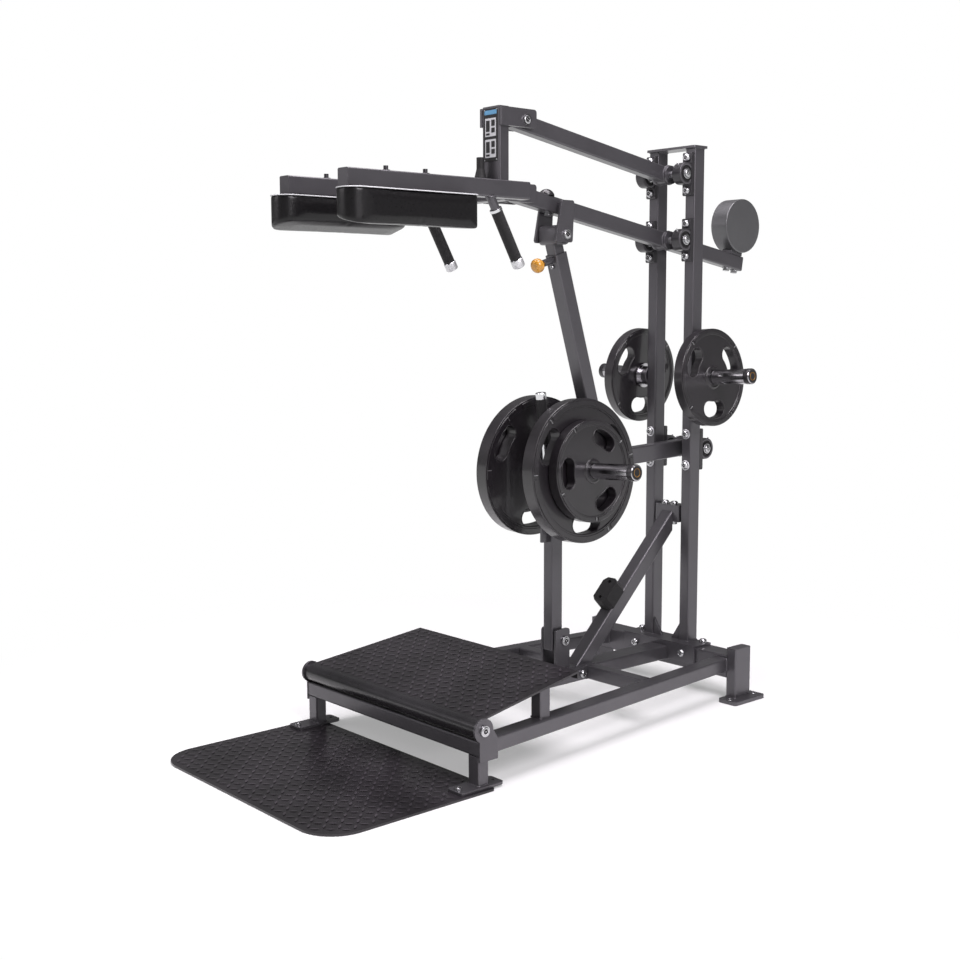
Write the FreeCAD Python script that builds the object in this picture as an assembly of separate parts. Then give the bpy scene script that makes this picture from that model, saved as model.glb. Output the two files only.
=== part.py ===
import FreeCAD, Part
import math
import os
from FreeCAD import Vector as V

# Plate-loaded squat machine. Millimetres, Z up, the user faces +Y, X = 0 is the plane of symmetry.
# The layout is drawn from the front faces of the two uprights (Y = 0) and moved at the end so
# that the origin lies on the floor under the middle of the machine.

# tube stock
wall = 3.0
corner = 5.0
overrun = 20.0
soft_gap = 0.3
side_gap = 0.5
fit = 0.05
bolt_washer_r = 13.0
bolt_washer_t = 2.5
bolt_head_af = 19.0
bolt_head_t = 8.0
bolt_shank_r = 6.0
hole_play = 0.2

# uprights and cap
upright_x = 79.7
upright_w = 40.0
upright_d = 51.0
upright_top = 1817.0
cap_half_x = 105.0
cap_front = 9.0
cap_rear = 60.0
cap_t = 8.0
cap_corner = 6.0

# rear crossbar, its posts and feet
rear_bar_front = -29.0
rear_bar_bottom = 74.0
rear_bar_top = 150.0
rear_post_in = 291.0
rear_post_w = 39.0
rear_post_top = 177.0
rear_foot_in = 289.5
rear_foot_out = 364.0
rear_foot_front = -69.0
rear_foot_rear = 89.0
rear_foot_t = 12.0
foot_corner = 12.0
foot_hole_r = 7.0
rear_hole_in = 18.0

# saddle that carries the uprights
saddle_half_x = 160.0
saddle_t = 7.0
saddle_front_t = 8.0
saddle_low = 95.0
saddle_bolt_x = 106.0
saddle_bolt_z = 126.0
saddle_nut_x = 138.0
saddle_nut_y = 36.0
gusset_h = 60.0
gusset_reach = 38.0
gusset_t = 8.0
gusset_y = 6.0

# base: rails, crossbar, legs and floor plate
floor_half_x = 426.0
floor_front = -1732.0
floor_rear = -1174.0
floor_t = 6.0
floor_r = 110.0
floor_rear_r = 12.0
rail_w = 52.0
rail_bottom = 95.0
rail_top = 139.0
rail_front_x = 376.3
rail_front_y = -1141.0
rail_slope = 0.0985
bar_front = -1218.0
bar_depth = 40.0
bar_bottom = 94.5
bar_top = 138.0
leg_in = 361.0
leg_out = 405.0
leg_depth = 37.0
foot_in = 353.5
foot_out = 415.0
foot_front = -1288.0
foot_rear = -1133.0
foot_t = 8.0
foot_hole_in = 16.0
foot_bolt_r = 5.0
foot_bolt_head_r = 9.0
foot_bolt_head_t = 6.0
spine_w = 80.0
spine_front = -640.0
spine_bottom = 92.0
spine_top = 138.0
spine_bolt_y = -452.0
mid_front = -435.0
mid_d = 45.0

# foot platform on its roller
bracket_t = 7.0
bracket_front = -1219.0
bracket_rear = -1154.0
bracket_bottom = 82.0
ring_r = 33.0
roller_y = -1204.0
roller_z = 168.0
roller_r = 27.0
roller_wall = 3.0
roller_end_gap = 0.3
roller_bolt_r = 8.0
deck_side_gap = 7.0
deck_taper = 33.0
deck_rear_y = -800.0
deck_rise_degrees = 7.9
deck_t = 6.0
deck_lip = 22.0
post_x_in = 328.0
post_w = 40.0
post_front = -954.0
post_d = 40.0

# bearings and shafts
bearing_height = 36.5
bearing_base_h = 140.0
bearing_base_t = 15.0
bearing_base_w = 38.0
bearing_body_w = 32.0
bearing_body_r = 35.5
bearing_bolt_step = 53.0
bearing_ring_r = 17.5
bearing_ring_out = 3.0
bearing_dish_r = 27.0
bearing_dish_deep = 3.0
shaft_r = 12.5
shaft_out = 3.0
upper_drop = 85.0
lower_drop = 299.0
weight_z = 818.0

# parallel arms
arm_w = 40.0
arm_d = 50.0
arm_rise_degrees = 9.8
arm_length = 684.0
arm_front_over = 26.0
hub_r = 30.0
hub_half = 31.0
front_hub_r = 18.0
lower_arm_rear = 405.0
counter_r = 93.0
counter_half = 34.0
counter_along = 380.2
counter_lift = 62.1
counter_seat = 42.0
counter_seat_half = 30.0
dome_back = 128.0
dome_r = 24.0
dome_h = 20.0
dome_foot_h = 4.0
dome_nut_back = 16.0
dome_nut_r = 10.0
dome_nut_h = 9.0

# clevis that carries the link
clevis_half = 50.0
clevis_t = 7.0
clevis_ahead = 46.0
clevis_ahead_top = 20.0
clevis_behind = 27.0
clevis_behind_top = 34.0
clevis_over = 104.0
clevis_under = 24.0
clevis_r = 8.0
link_pin_back = 167.5
link_pin_drop = 115.4
link_pin_r = 10.0
link_boss_r = 27.0

# carriage
mast_half_x = 38.4
mast_ahead = 98.5
mast_d = 39.0
mast_over = 34.6
cheek_t = 10.0
cheek_half_h = 27.0
cheek_lift = 4.5
cheek_over = 42.0
cheek_r = 9.0
carriage_pin_r = 10.0
pin_head_r = 15.0
pin_head_t = 7.0
flush_head_t = 1.5
shoulder_in = 115.0
shoulder_out = 160.0
shoulder_reach = 633.7
shoulder_back = 10.0
shoulder_drop = 30.9
shoulder_h = 50.0
yoke_bar_d = 50.0
pad_in = 107.0
pad_out = 205.0
pad_ahead = 658.0
pad_start = 220.0
pad_inner_h = 76.0
pad_outer_h = 101.0
pad_corner = 45.0
pad_rear_corner = 14.0
pad_draw = 3.0
pad_edge = 5.0
pad_crown = 10.0
pad_board_h = 10.0
pad_bolt_ahead = 494.0
pad_bolt_behind = 360.0
pad_bolt_r = 6.5
pad_bolt_h = 11.0
pad_bolt_washer_r = 12.0
handle_x = 150.0
handle_ahead = 134.0
handle_lean_degrees = 29.7
handle_length = 222.0
handle_rod_r = 12.5
grip_r = 16.5
grip_start = 44.0
grip_end = 195.0
grip_collar_r = 18.0
grip_collar_t = 8.0
boot_x = -18.0
boot_ahead = 25.0
boot_foot_r = 24.0
boot_neck_r = 12.0
boot_neck_h = 48.5
boot_h = 81.5

# telescoping link and its pop pin
link_start_ahead = 3.0
link_start_drop = 36.0
drive_y = -334.0
inner_w = 40.0
inner_d = 42.0
sleeve_w = 50.0
sleeve_d = 50.0
sleeve_play = 1.0
sleeve_start = 22.0
inner_overlap = 330.0
sleeve_stop = 62.0
fork_in = 21.5
fork_t = 7.0
fork_w = 48.0
fork_r = 24.0
drive_pin_r = 10.0
drive_play = 6.0
drive_washer_r = 23.0
drive_washer_t = 4.0
adjust_hole_r = 6.5
adjust_step = 40.0
adjust_holes = 5
pop_along = 36.0
pop_barrel_r = 11.0
pop_barrel_l = 38.0
pop_pin_r = 5.5
pop_grip_in = 6.0
pop_neck_r = 8.0
knob_r = 22.5
knob_t = 33.0
knob_edge = 15.0
pop_gap = 1.0

# weight arm, sleeves and plates
weight_arm_w = 40.0
weight_arm_d = 56.0
sleeve_axis_y = -534.7
sleeve_axis_z = 791.4
weight_arm_reach = 640.0
weight_hub_r = 34.0
horn_tilt_degrees = 3.2
horn_r = 25.0
horn_root_r = 32.0
horn_collar_r = 42.0
horn_collar_t = 6.0
horn_end = 332.0
store_horn_end = 321.0
horn_cap_r = 24.8
horn_cap_t = 12.0
horn_bore = 30.0
plate_play = 0.3
plate_gap = 0.3
big_plate_in = 82.6
big_plate_t = 46.0
big_plate_r = 225.0
small_plate_t = 36.5
small_plate_r = 159.0
store_y = 25.3
store_z = 1063.9
store_plate_in = 138.6
store_plate_t = 34.6
store_plate_r = 161.7
rim_share = 0.115
web_share = 0.86
hub_share = 0.235
big_grip_radius_share = 0.755
big_grip_width_share = 0.23
big_grip_arc_degrees = 22.5
small_grip_radius_share = 0.68
small_grip_width_share = 0.31
small_grip_arc_degrees = 25.0
store_grip_radius_share = 0.66
store_grip_width_share = 0.33
store_grip_arc_degrees = 26.0

# brace and its rubber block
brace_w = 50.0
brace_d = 50.0
brace_rise_degrees = 45.0
brace_offset = 567.0
head_half = 52.0
head_front = 0.0
head_bottom = 566.0
head_top = 618.0
head_flange_t = 6.0
head_side_low = 505.0
head_bolt_x = 20.0
head_bolt_y = 14.0
block_y = -270.5
block_z = 331.5
block_w = 60.0
block_h = 52.0
block_l = 95.0
block_chamfer = 14.0
block_hole_r = 6.5
block_hole_step = 31.5
block_hole_deep = 14.0

# prop that holds the weight arm up
prop_y = -528.0
prop_z = 236.0
prop_half_w = 20.0
prop_d = 48.0
prop_low = 30.0
prop_high = 362.0
prop_front = -572.0
prop_pin_r = 8.0
ear_in = 26.0
ear_t = 8.0
ear_front = -567.0
ear_rear = -505.0
ear_top = 275.0
ear_r = 10.0
ear_base_front = -585.0
ear_base_rear = -480.0
ear_base_t = 8.0
prop_rod_r = 13.5
prop_rod_y = -556.5
prop_rod_lean_degrees = 6.2
prop_rod_length = 437.5
prop_grip_start = 275.0
prop_grip_end = 414.0
prop_grip_r = 16.5
prop_cap_r = 17.0
hook_t = 10.0
hook_h = 53.0
hook_out = 28.0
hook_rise = 13.0

X = V(1, 0, 0)
Y = V(0, 1, 0)
Z = V(0, 0, 1)
lower_y = -bearing_height
weight_y = upright_d + bearing_height
upper_z = upright_top - upper_drop
lower_z = upright_top - lower_drop
counter_y = lower_y + counter_along
counter_z = lower_z + counter_lift
middle_y = (floor_front + counter_y + counter_r) / 2
arm_turn = math.radians(arm_rise_degrees)
pin_y = lower_y - arm_length * math.cos(arm_turn)
pin_rise = arm_length * math.sin(arm_turn)
link_pin_y = pin_y + link_pin_back
link_pin_z = lower_z + pin_rise - link_pin_drop
mast_front = pin_y - mast_ahead
mast_top = upper_z + pin_rise + mast_over
shoulder_front = mast_front - shoulder_reach
shoulder_rear = mast_front + shoulder_back
shoulder_bottom = lower_z + pin_rise - shoulder_drop
shoulder_top = shoulder_bottom + shoulder_h
deck_front_half = leg_out - deck_side_gap
deck_rear_half = deck_front_half - deck_taper
weight_slope = math.atan2(weight_z - sleeve_axis_z, weight_y - sleeve_axis_y)
drive_z = weight_z + (drive_y - weight_y) * math.tan(weight_slope)


def block(x, y, z):
    return Part.makeBox(x[1] - x[0], y[1] - y[0], z[1] - z[0], V(x[0], y[0], z[0]))


def rod(p, q, radius):
    return Part.makeCylinder(radius, (q - p).Length, p, q - p)


def rod_x(x0, x1, y, z, radius):
    return rod(V(x0, y, z), V(x1, y, z), radius)


def pair(shape):
    return [shape, shape.mirror(V(0, 0, 0), X)]


def join(shapes):
    first = shapes[0]
    return first.fuse(shapes[1:]).removeSplitter() if len(shapes) > 1 else first


def turned(shape, y, z, degrees):
    copy = shape.copy()
    copy.rotate(V(0, y, z), X, degrees)
    return copy


def tilted(shape, x, z, degrees):
    copy = shape.copy()
    copy.rotate(V(x, 0, z), Y, degrees)
    return copy


def rounded(w, d, r, rear_r=None):
    a, b = w / 2, d / 2
    if r <= 0:
        return Part.makePolygon([V(-a, -b, 0), V(a, -b, 0), V(a, b, 0), V(-a, b, 0), V(-a, -b, 0)])
    front_r, rear_r = r, r if rear_r is None else rear_r
    edges = []
    for sx, sy, start in ((1, -1, True), (1, 1, False), (-1, 1, True), (-1, -1, False)):
        r = rear_r if sy > 0 else front_r
        k = r * (1 - math.sqrt(0.5))
        end_a, end_b = V(sx * (a - r), sy * b, 0), V(sx * a, sy * (b - r), 0)
        mid = V(sx * (a - k), sy * (b - k), 0)
        first, last = (end_a, end_b) if start else (end_b, end_a)
        edges.append((first, mid, last))
    shapes = []
    for i, (first, mid, last) in enumerate(edges):
        shapes.append(Part.Arc(first, mid, last).toShape())
        shapes.append(Part.makeLine(last, edges[(i + 1) % 4][0]))
    return Part.Wire(shapes)


def placed(shape, origin, side, axis):
    shape.Placement = FreeCAD.Placement(origin, FreeCAD.Rotation(side, axis.cross(side), axis, "ZXY"))
    return shape


def tube(p, q, side, width, depth, thick=wall, caps=(False, False), r=corner):
    axis = (q - p).normalize()
    length = (q - p).Length
    outer = Part.Face(rounded(width, depth, r)).extrude(V(0, 0, length))
    start = thick if caps[0] else -overrun
    stop = length - thick if caps[1] else length + overrun
    core = Part.Face(rounded(width - 2 * thick, depth - 2 * thick, r - thick)).extrude(V(0, 0, stop - start))
    core.translate(V(0, 0, start))
    return placed(outer.cut(core), p, side, axis)


def slab_x(points, x0, x1):
    wire = Part.makePolygon([V(x0, y, z) for y, z in points + points[:1]])
    return Part.Face(wire).extrude(V(x1 - x0, 0, 0))


def slab_z(points, z0, z1):
    wire = Part.makePolygon([V(x, y, z0) for x, y in points + points[:1]])
    return Part.Face(wire).extrude(V(0, 0, z1 - z0))


def plate_z(x, y, z, r):
    face = Part.Face(rounded(x[1] - x[0], y[1] - y[0], r))
    solid = face.extrude(V(0, 0, z[1] - z[0]))
    solid.translate(V((x[0] + x[1]) / 2, (y[0] + y[1]) / 2, z[0]))
    return solid


def softened(shape, r, keep):
    return shape.makeFillet(r, [e for e in shape.Edges if keep(e)])


def along_x(edge):
    return len(edge.Vertexes) == 2 and abs(edge.tangentAt(edge.FirstParameter).dot(X)) > 0.999


def along_z(edge):
    return len(edge.Vertexes) == 2 and abs(edge.tangentAt(edge.FirstParameter).dot(Z)) > 0.999


def hexagon(p, axis, across, height):
    side = axis.cross(X) if abs(axis.dot(X)) < 0.9 else V(0, 1, 0)
    reach = across / math.sqrt(3)
    other = axis.cross(side)
    ring = [p + side * (reach * math.cos(i * math.pi / 3)) + other * (reach * math.sin(i * math.pi / 3))
            for i in range(7)]
    ring[6] = ring[0]
    return Part.Face(Part.makePolygon(ring)).extrude(axis * height)


def bolt(p, axis, shank):
    washer = rod(p, p + axis * bolt_washer_t, bolt_washer_r)
    head = hexagon(p + axis * bolt_washer_t, axis, bolt_head_af, bolt_head_t)
    parts = [washer, head]
    if shank > 0:
        parts.append(rod(p - axis * shank, p, bolt_shank_r))
    return join(parts)


NODES = {}
FASTENERS = {"frame_bolts": [], "carriage_bolts": []}


def put(name, shapes):
    solids = []
    for shape in shapes if isinstance(shapes, list) else [shapes]:
        solids += shape.Solids
    NODES[name] = solids


def put_bolts(shapes, node="frame_bolts"):
    FASTENERS[node] += shapes


def build_base():
    floor = plate_z((-floor_half_x, floor_half_x), (floor_front, floor_rear), (0, floor_t), 0)
    front = [e for e in floor.Edges if along_z(e) and e.Vertexes[0].Y < (floor_front + floor_rear) / 2]
    floor = floor.makeFillet(floor_r, front)
    rear = [e for e in floor.Edges if along_z(e) and e.Vertexes[0].Y > floor_rear - floor_t]
    put("floor_plate", floor.makeFillet(floor_rear_r, rear))

    foot = plate_z((foot_in, foot_out), (foot_front, foot_rear), (floor_t, floor_t + foot_t), foot_corner)
    middle = (foot_in + foot_out) / 2
    for y in (foot_front + foot_hole_in, foot_rear - foot_hole_in):
        foot = foot.cut(rod(V(middle, y, -overrun), V(middle, y, bar_bottom), foot_bolt_r + hole_play))
    leg = tube(V((leg_in + leg_out) / 2, bar_front + leg_depth / 2, floor_t + foot_t),
               V((leg_in + leg_out) / 2, bar_front + leg_depth / 2, bar_bottom), X, leg_out - leg_in, leg_depth)
    put("front_legs", pair(join([foot, leg])))

    y = foot_front + foot_hole_in
    top = floor_t + foot_t
    screw = join([rod(V(middle, y, floor_t), V(middle, y, top), foot_bolt_r),
                  rod(V(middle, y, top), V(middle, y, top + foot_bolt_head_t), foot_bolt_head_r)])
    put_bolts(pair(screw))

    bar_y = bar_front + bar_depth / 2
    bar_z = (bar_bottom + bar_top) / 2
    bar = tube(V(-leg_out, bar_y, bar_z), V(leg_out, bar_y, bar_z), Y, bar_depth, bar_top - bar_bottom)
    put("front_crossbar", bar)

    def rail_x(at):
        return rail_front_x - rail_slope * (at - rail_front_y)

    start_y, end_y = bar_front + bar_depth, rear_bar_front
    rail_z = (rail_bottom + rail_top) / 2
    p = V(rail_x(start_y - overrun), start_y - overrun, rail_z)
    q = V(rail_x(end_y + overrun), end_y + overrun, rail_z)
    side = (q - p).normalize().cross(Z)
    rail = tube(p, q, side, rail_w, rail_top - rail_bottom)
    rail = rail.common(block((0, leg_out), (start_y, end_y), (0, rear_post_top)))
    put("side_rails", pair(rail))
    filled = Part.Face(rounded(rail_w, rail_top - rail_bottom, corner)).extrude(V(0, 0, (q - p).Length))
    filled = placed(filled, p, side, (q - p).normalize())

    spine = tube(V(0, spine_front, (spine_bottom + spine_top) / 2),
                 V(0, rear_bar_front - saddle_front_t, (spine_bottom + spine_top) / 2),
                 X, spine_w, spine_top - spine_bottom, caps=(True, False))
    put("spine", spine)
    put_bolts([bolt(V(s * spine_w / 2, spine_bolt_y, (spine_bottom + spine_top) / 2), X * s, 0)
               for s in (-1, 1)])

    mid_y = mid_front + mid_d / 2
    reach = V(rail_x(mid_front) + rail_w, mid_y, rail_z)
    mid = tube(V(spine_w / 2, mid_y, rail_z), reach, Y, mid_d, rail_top - rail_bottom)
    outer_side = slab_z([(rail_x(mid_front - overrun), mid_front - overrun),
                         (rail_x(mid_front + mid_d + overrun), mid_front + mid_d + overrun),
                         (rail_x(mid_front) + 2 * rail_w, mid_front + mid_d + overrun),
                         (rail_x(mid_front) + 2 * rail_w, mid_front - overrun)], 0, rear_post_top)
    put("mid_tubes", pair(mid.cut(filled).cut(outer_side)))


def build_rear():
    rear = upright_d
    mid_y = (rear_bar_front + rear) / 2
    mid_z = (rear_bar_bottom + rear_bar_top) / 2
    bar = tube(V(-rear_post_in, mid_y, mid_z), V(rear_post_in, mid_y, mid_z), Y, rear - rear_bar_front,
               rear_bar_top - rear_bar_bottom)
    put("rear_crossbar", bar)

    foot = plate_z((rear_foot_in, rear_foot_out), (rear_foot_front, rear_foot_rear), (0, rear_foot_t), foot_corner)
    for y in (rear_foot_front + rear_hole_in, rear_foot_rear - rear_hole_in):
        x = (rear_foot_in + rear_foot_out) / 2
        foot = foot.cut(rod(V(x, y, -overrun), V(x, y, rear_bar_bottom), foot_hole_r))
    x = rear_post_in + rear_post_w / 2
    post = tube(V(x, mid_y, rear_foot_t), V(x, mid_y, rear_post_top), X, rear_post_w, rear - rear_bar_front,
                caps=(False, True))
    put("rear_posts", pair(join([foot, post])))

    top = plate_z((-saddle_half_x, saddle_half_x), (rear_bar_front - saddle_front_t, rear),
                  (rear_bar_top, rear_bar_top + saddle_t), 0)
    front = block((-saddle_half_x, saddle_half_x), (rear_bar_front - saddle_front_t, rear_bar_front),
                  (saddle_low, rear_bar_top))
    saddle = join([top, front])
    base = rear_bar_top + saddle_t
    inner = upright_x - upright_w / 2
    for sign in (-1, 1):
        points = [(sign * inner, base), (sign * inner, base + gusset_h), (sign * (inner - gusset_reach), base)]
        wire = Part.makePolygon([V(px, gusset_y, pz) for px, pz in points + points[:1]])
        saddle = saddle.fuse(Part.Face(wire).extrude(V(0, gusset_t, 0)))
    saddle = saddle.removeSplitter()
    put("base_saddle", saddle)

    bolts = []
    for sign in (-1, 1):
        bolts.append(bolt(V(sign * saddle_bolt_x, rear_bar_front - saddle_front_t, saddle_bolt_z), V(0, -1, 0), 0))
        bolts.append(bolt(V(sign * saddle_nut_x, saddle_nut_y, base), Z, 0))
    put_bolts(bolts)


def build_uprights():
    base = rear_bar_top + saddle_t
    for side, sign in (("right", 1), ("left", -1)):
        x = sign * upright_x
        put("upright_" + side, tube(V(x, upright_d / 2, base), V(x, upright_d / 2, upright_top), X,
                                    upright_w, upright_d))
    cap = plate_z((-cap_half_x, cap_half_x), (-cap_front, cap_rear), (upright_top, upright_top + cap_t), cap_corner)
    put("cap_plate", cap)


def bearing_block(y_face, z, facing):
    base_y = y_face + facing * bearing_base_t
    axis_y = y_face + facing * bearing_height
    half = bearing_base_w / 2
    profile = [(y_face, z - bearing_base_h / 2), (base_y, z - bearing_base_h / 2),
               (base_y, z + bearing_base_h / 2), (y_face, z + bearing_base_h / 2)]
    base = slab_x(profile, upright_x - half, upright_x + half)
    base = softened(base, bearing_base_t / 3, lambda e: along_x(e) and abs(e.Vertexes[0].Y - base_y) < fit)
    body_half = bearing_body_w / 2
    body = rod_x(upright_x - body_half, upright_x + body_half, axis_y, z, bearing_body_r)
    neck = slab_x([(y_face, z - bearing_body_r), (axis_y, z - bearing_body_r), (axis_y, z + bearing_body_r),
                   (y_face, z + bearing_body_r)], upright_x - body_half, upright_x + body_half)
    shape = join([base, body, neck])
    for sign in (-1, 1):
        face = upright_x + sign * body_half
        dish = rod_x(face, face - sign * bearing_dish_deep, axis_y, z, bearing_dish_r)
        shape = shape.cut(dish)
    ring = rod_x(upright_x - body_half - bearing_ring_out, upright_x + body_half + bearing_ring_out,
                 axis_y, z, bearing_ring_r)
    shape = shape.fuse(ring)
    shape = shape.cut(rod_x(upright_x - bearing_base_w, upright_x + bearing_base_w, axis_y, z, shaft_r + fit))
    for sign in (-1, 1):
        at = z + sign * bearing_bolt_step
        start = V(upright_x, y_face - facing * overrun, at)
        stop = V(upright_x, y_face + facing * 2 * bearing_base_t, at)
        shape = shape.cut(rod(start, stop, bolt_shank_r + hole_play))
    return shape.removeSplitter()


def build_bearings():
    bolts = []
    front, rear = V(0, -1, 0), V(0, 1, 0)
    for name, z in (("upper", upper_z), ("lower", lower_z)):
        put(name + "_bearings", pair(bearing_block(0, z, -1)))
        for sign in (-1, 1):
            at = V(upright_x, -bearing_base_t, z + sign * bearing_bolt_step)
            bolts += pair(bolt(at, front, bearing_base_t))
    put("rear_bearings", pair(bearing_block(upright_d, weight_z, 1)))
    for sign in (-1, 1):
        z = weight_z + sign * bearing_bolt_step
        bolts += pair(bolt(V(upright_x, 0, z), front, 0))
        bolts += pair(bolt(V(upright_x, upright_d + bearing_base_t, z), rear, bearing_base_t))
    put_bolts(bolts)
    reach = upright_x + bearing_body_w / 2 + bearing_ring_out + shaft_out
    for name, y, z in (("upper_shaft", lower_y, upper_z), ("lower_shaft", lower_y, lower_z),
                       ("weight_shaft", weight_y, weight_z)):
        put(name, rod_x(-reach, reach, y, z, shaft_r))


def arm_beam(z, rear):
    front = arm_length + arm_front_over
    beam = tube(V(0, lower_y - front, z), V(0, lower_y + rear, z), X, arm_w, arm_d, caps=(True, rear > hub_r))
    return beam


def arm_hubs(beam, z):
    front_half = mast_half_x - side_gap
    bore = shaft_r
    core = rod_x(-hub_half, hub_half, lower_y, z, hub_r)
    nose = rod_x(-front_half, front_half, lower_y - arm_length, z, front_hub_r)
    shape = join([beam, core, nose])
    shape = shape.cut(rod_x(-hub_half - overrun, hub_half + overrun, lower_y, z, bore))
    return shape.cut(rod_x(-front_half - overrun, front_half + overrun, lower_y - arm_length, z,
                           carriage_pin_r + fit))


def build_arms():
    upper = arm_hubs(arm_beam(upper_z, 0), upper_z)
    put("upper_arm", turned(upper, lower_y, upper_z, -arm_rise_degrees))

    lower = arm_hubs(arm_beam(lower_z, lower_arm_rear), lower_z)
    top = lower_z + arm_d / 2
    under = lower_y + counter_along * math.cos(arm_turn) - counter_lift * math.sin(arm_turn)
    rear = lower_y + lower_arm_rear
    seat = block((-arm_w / 2, arm_w / 2), (under - counter_seat_half, under + counter_seat_half),
                 (top, lower_z + counter_seat))
    lower = turned(join([lower, seat]), lower_y, lower_z, -arm_rise_degrees)
    put("lower_arm", lower.cut(rod_x(-counter_half, counter_half, counter_y, counter_z, counter_r)))

    disc = rod_x(-counter_half, counter_half, counter_y, counter_z, counter_r)
    disc = disc.makeFillet(wall, [e for e in disc.Edges if e.Closed])
    put("counterweight", disc)

    low = lower_z - arm_d / 2
    studs = [bolt(V(0, y, low), V(0, 0, -1), 0) for y in (2 * under - rear + bolt_head_af, rear - bolt_head_af)]
    foot_y = lower_y - arm_length + dome_back
    cap_h = dome_h - dome_foot_h
    ball = (dome_r * dome_r + cap_h * cap_h) / (2 * cap_h)
    half = math.asin(dome_r / ball) / 2
    crown = V(0, foot_y, top + dome_h)
    rim = V(0, foot_y + dome_r, top + dome_foot_h)
    mid = V(0, foot_y + ball * math.sin(half), top + dome_h - ball + ball * math.cos(half))
    wire = Part.Wire([Part.Arc(crown, mid, rim).toShape(), Part.makeLine(rim, V(0, rim.y, top)),
                      Part.makeLine(V(0, rim.y, top), V(0, foot_y, top)),
                      Part.makeLine(V(0, foot_y, top), crown)])
    dome = Part.Face(wire).revolve(V(0, foot_y, top), Z, 360)
    nut = hexagon(V(0, foot_y + dome_nut_back, low), V(0, 0, -1), 2 * dome_nut_r, dome_nut_h)
    put("dome_bumper", turned(dome, lower_y, lower_z, -arm_rise_degrees))
    put("arm_bolts", [turned(s, lower_y, lower_z, -arm_rise_degrees) for s in studs + [nut]])


def build_clevis():
    low, high = link_pin_z - clevis_under, link_pin_z + clevis_over
    outline = [(link_pin_y - clevis_ahead, low), (link_pin_y + clevis_behind, low),
               (link_pin_y + clevis_behind_top, high), (link_pin_y - clevis_ahead_top, high)]
    inner = clevis_half - clevis_t
    cheek = slab_x(outline, inner, clevis_half)
    cheek = softened(cheek, clevis_r, along_x)
    cheek = cheek.cut(rod_x(0, clevis_half + overrun, link_pin_y, link_pin_z, link_pin_r + fit))
    block_low = lower_z + (lower_y - link_pin_y) * math.tan(arm_turn) - arm_d / 2
    filler = block((arm_w / 2, inner), (link_pin_y - clevis_ahead_top + clevis_r, link_pin_y + clevis_behind),
                   (block_low, high - clevis_r))
    put("link_clevis", pair(join([cheek, filler])))
    pin = rod_x(-clevis_half, clevis_half, link_pin_y, link_pin_z, link_pin_r)
    heads = [rod_x(s * clevis_half, s * (clevis_half + pin_head_t), link_pin_y, link_pin_z, pin_head_r)
             for s in (-1, 1)]
    put("link_pin", join([pin] + heads))


def build_carriage():
    mast = tube(V(0, mast_front + mast_d / 2, shoulder_bottom), V(0, mast_front + mast_d / 2, mast_top), X,
                2 * mast_half_x, mast_d, caps=(False, True))
    parts = [mast]
    pins = []
    for z, lift, head_t in ((upper_z + pin_rise, cheek_lift, pin_head_t),
                            (lower_z + pin_rise, 0, flush_head_t)):
        low, high = z + lift - cheek_half_h, z + lift + cheek_half_h
        cheek = slab_x([(mast_front, low), (pin_y + cheek_over, low), (pin_y + cheek_over, high),
                        (mast_front, high)], mast_half_x, mast_half_x + cheek_t)
        cheek = softened(cheek, cheek_r, lambda e: along_x(e) and e.Vertexes[0].Y > pin_y)
        cheek = cheek.cut(rod_x(0, mast_half_x + 2 * cheek_t, pin_y, z, carriage_pin_r + fit))
        parts += pair(cheek)
        outer = mast_half_x + cheek_t
        heads = [rod_x(s * outer, s * (outer + head_t), pin_y, z, pin_head_r) for s in (-1, 1)]
        pins.append(join([rod_x(-outer, outer, pin_y, z, carriage_pin_r)] + heads))
    put("carriage_mast", join(parts))
    put_bolts(pins, "carriage_bolts")
    build_shoulders()
    build_pads()
    build_handles()


def build_shoulders():
    x, z = (shoulder_in + shoulder_out) / 2, (shoulder_bottom + shoulder_top) / 2
    arm = tube(V(x, shoulder_front, z), V(x, shoulder_rear, z), X, shoulder_out - shoulder_in,
               shoulder_top - shoulder_bottom, caps=(True, True))
    put("shoulder_tubes", pair(arm))
    bar_y = mast_front - yoke_bar_d / 2
    bar = tube(V(-shoulder_in, bar_y, z), V(shoulder_in, bar_y, z), Y, yoke_bar_d,
               shoulder_top - shoulder_bottom)
    put("yoke_crossbar", bar)

    top = shoulder_top
    boot_y = mast_front - boot_ahead
    neck = V(boot_x, boot_y, top + boot_neck_h)
    flare = Part.makeCone(boot_foot_r, boot_neck_r, boot_neck_h, V(boot_x, boot_y, top), Z)
    put("lever_boot", join([flare, rod(neck, V(boot_x, boot_y, top + boot_h), boot_neck_r)]))


def pad_wire(drop, inset):
    width, length = pad_out - pad_in, pad_ahead - pad_start
    slope = math.atan2((pad_outer_h - pad_inner_h) * drop / pad_outer_h, width)
    wire = rounded(width - 2 * inset, length - 2 * inset, pad_corner - inset, pad_rear_corner - inset)
    wire.rotate(V(0, 0, 0), Y, math.degrees(slope))
    middle = (pad_inner_h + pad_outer_h) / 2 * drop / pad_outer_h
    wire.translate(V((pad_in + pad_out) / 2, mast_front - (pad_ahead + pad_start) / 2,
                     shoulder_bottom - soft_gap - middle))
    return wire


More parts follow.
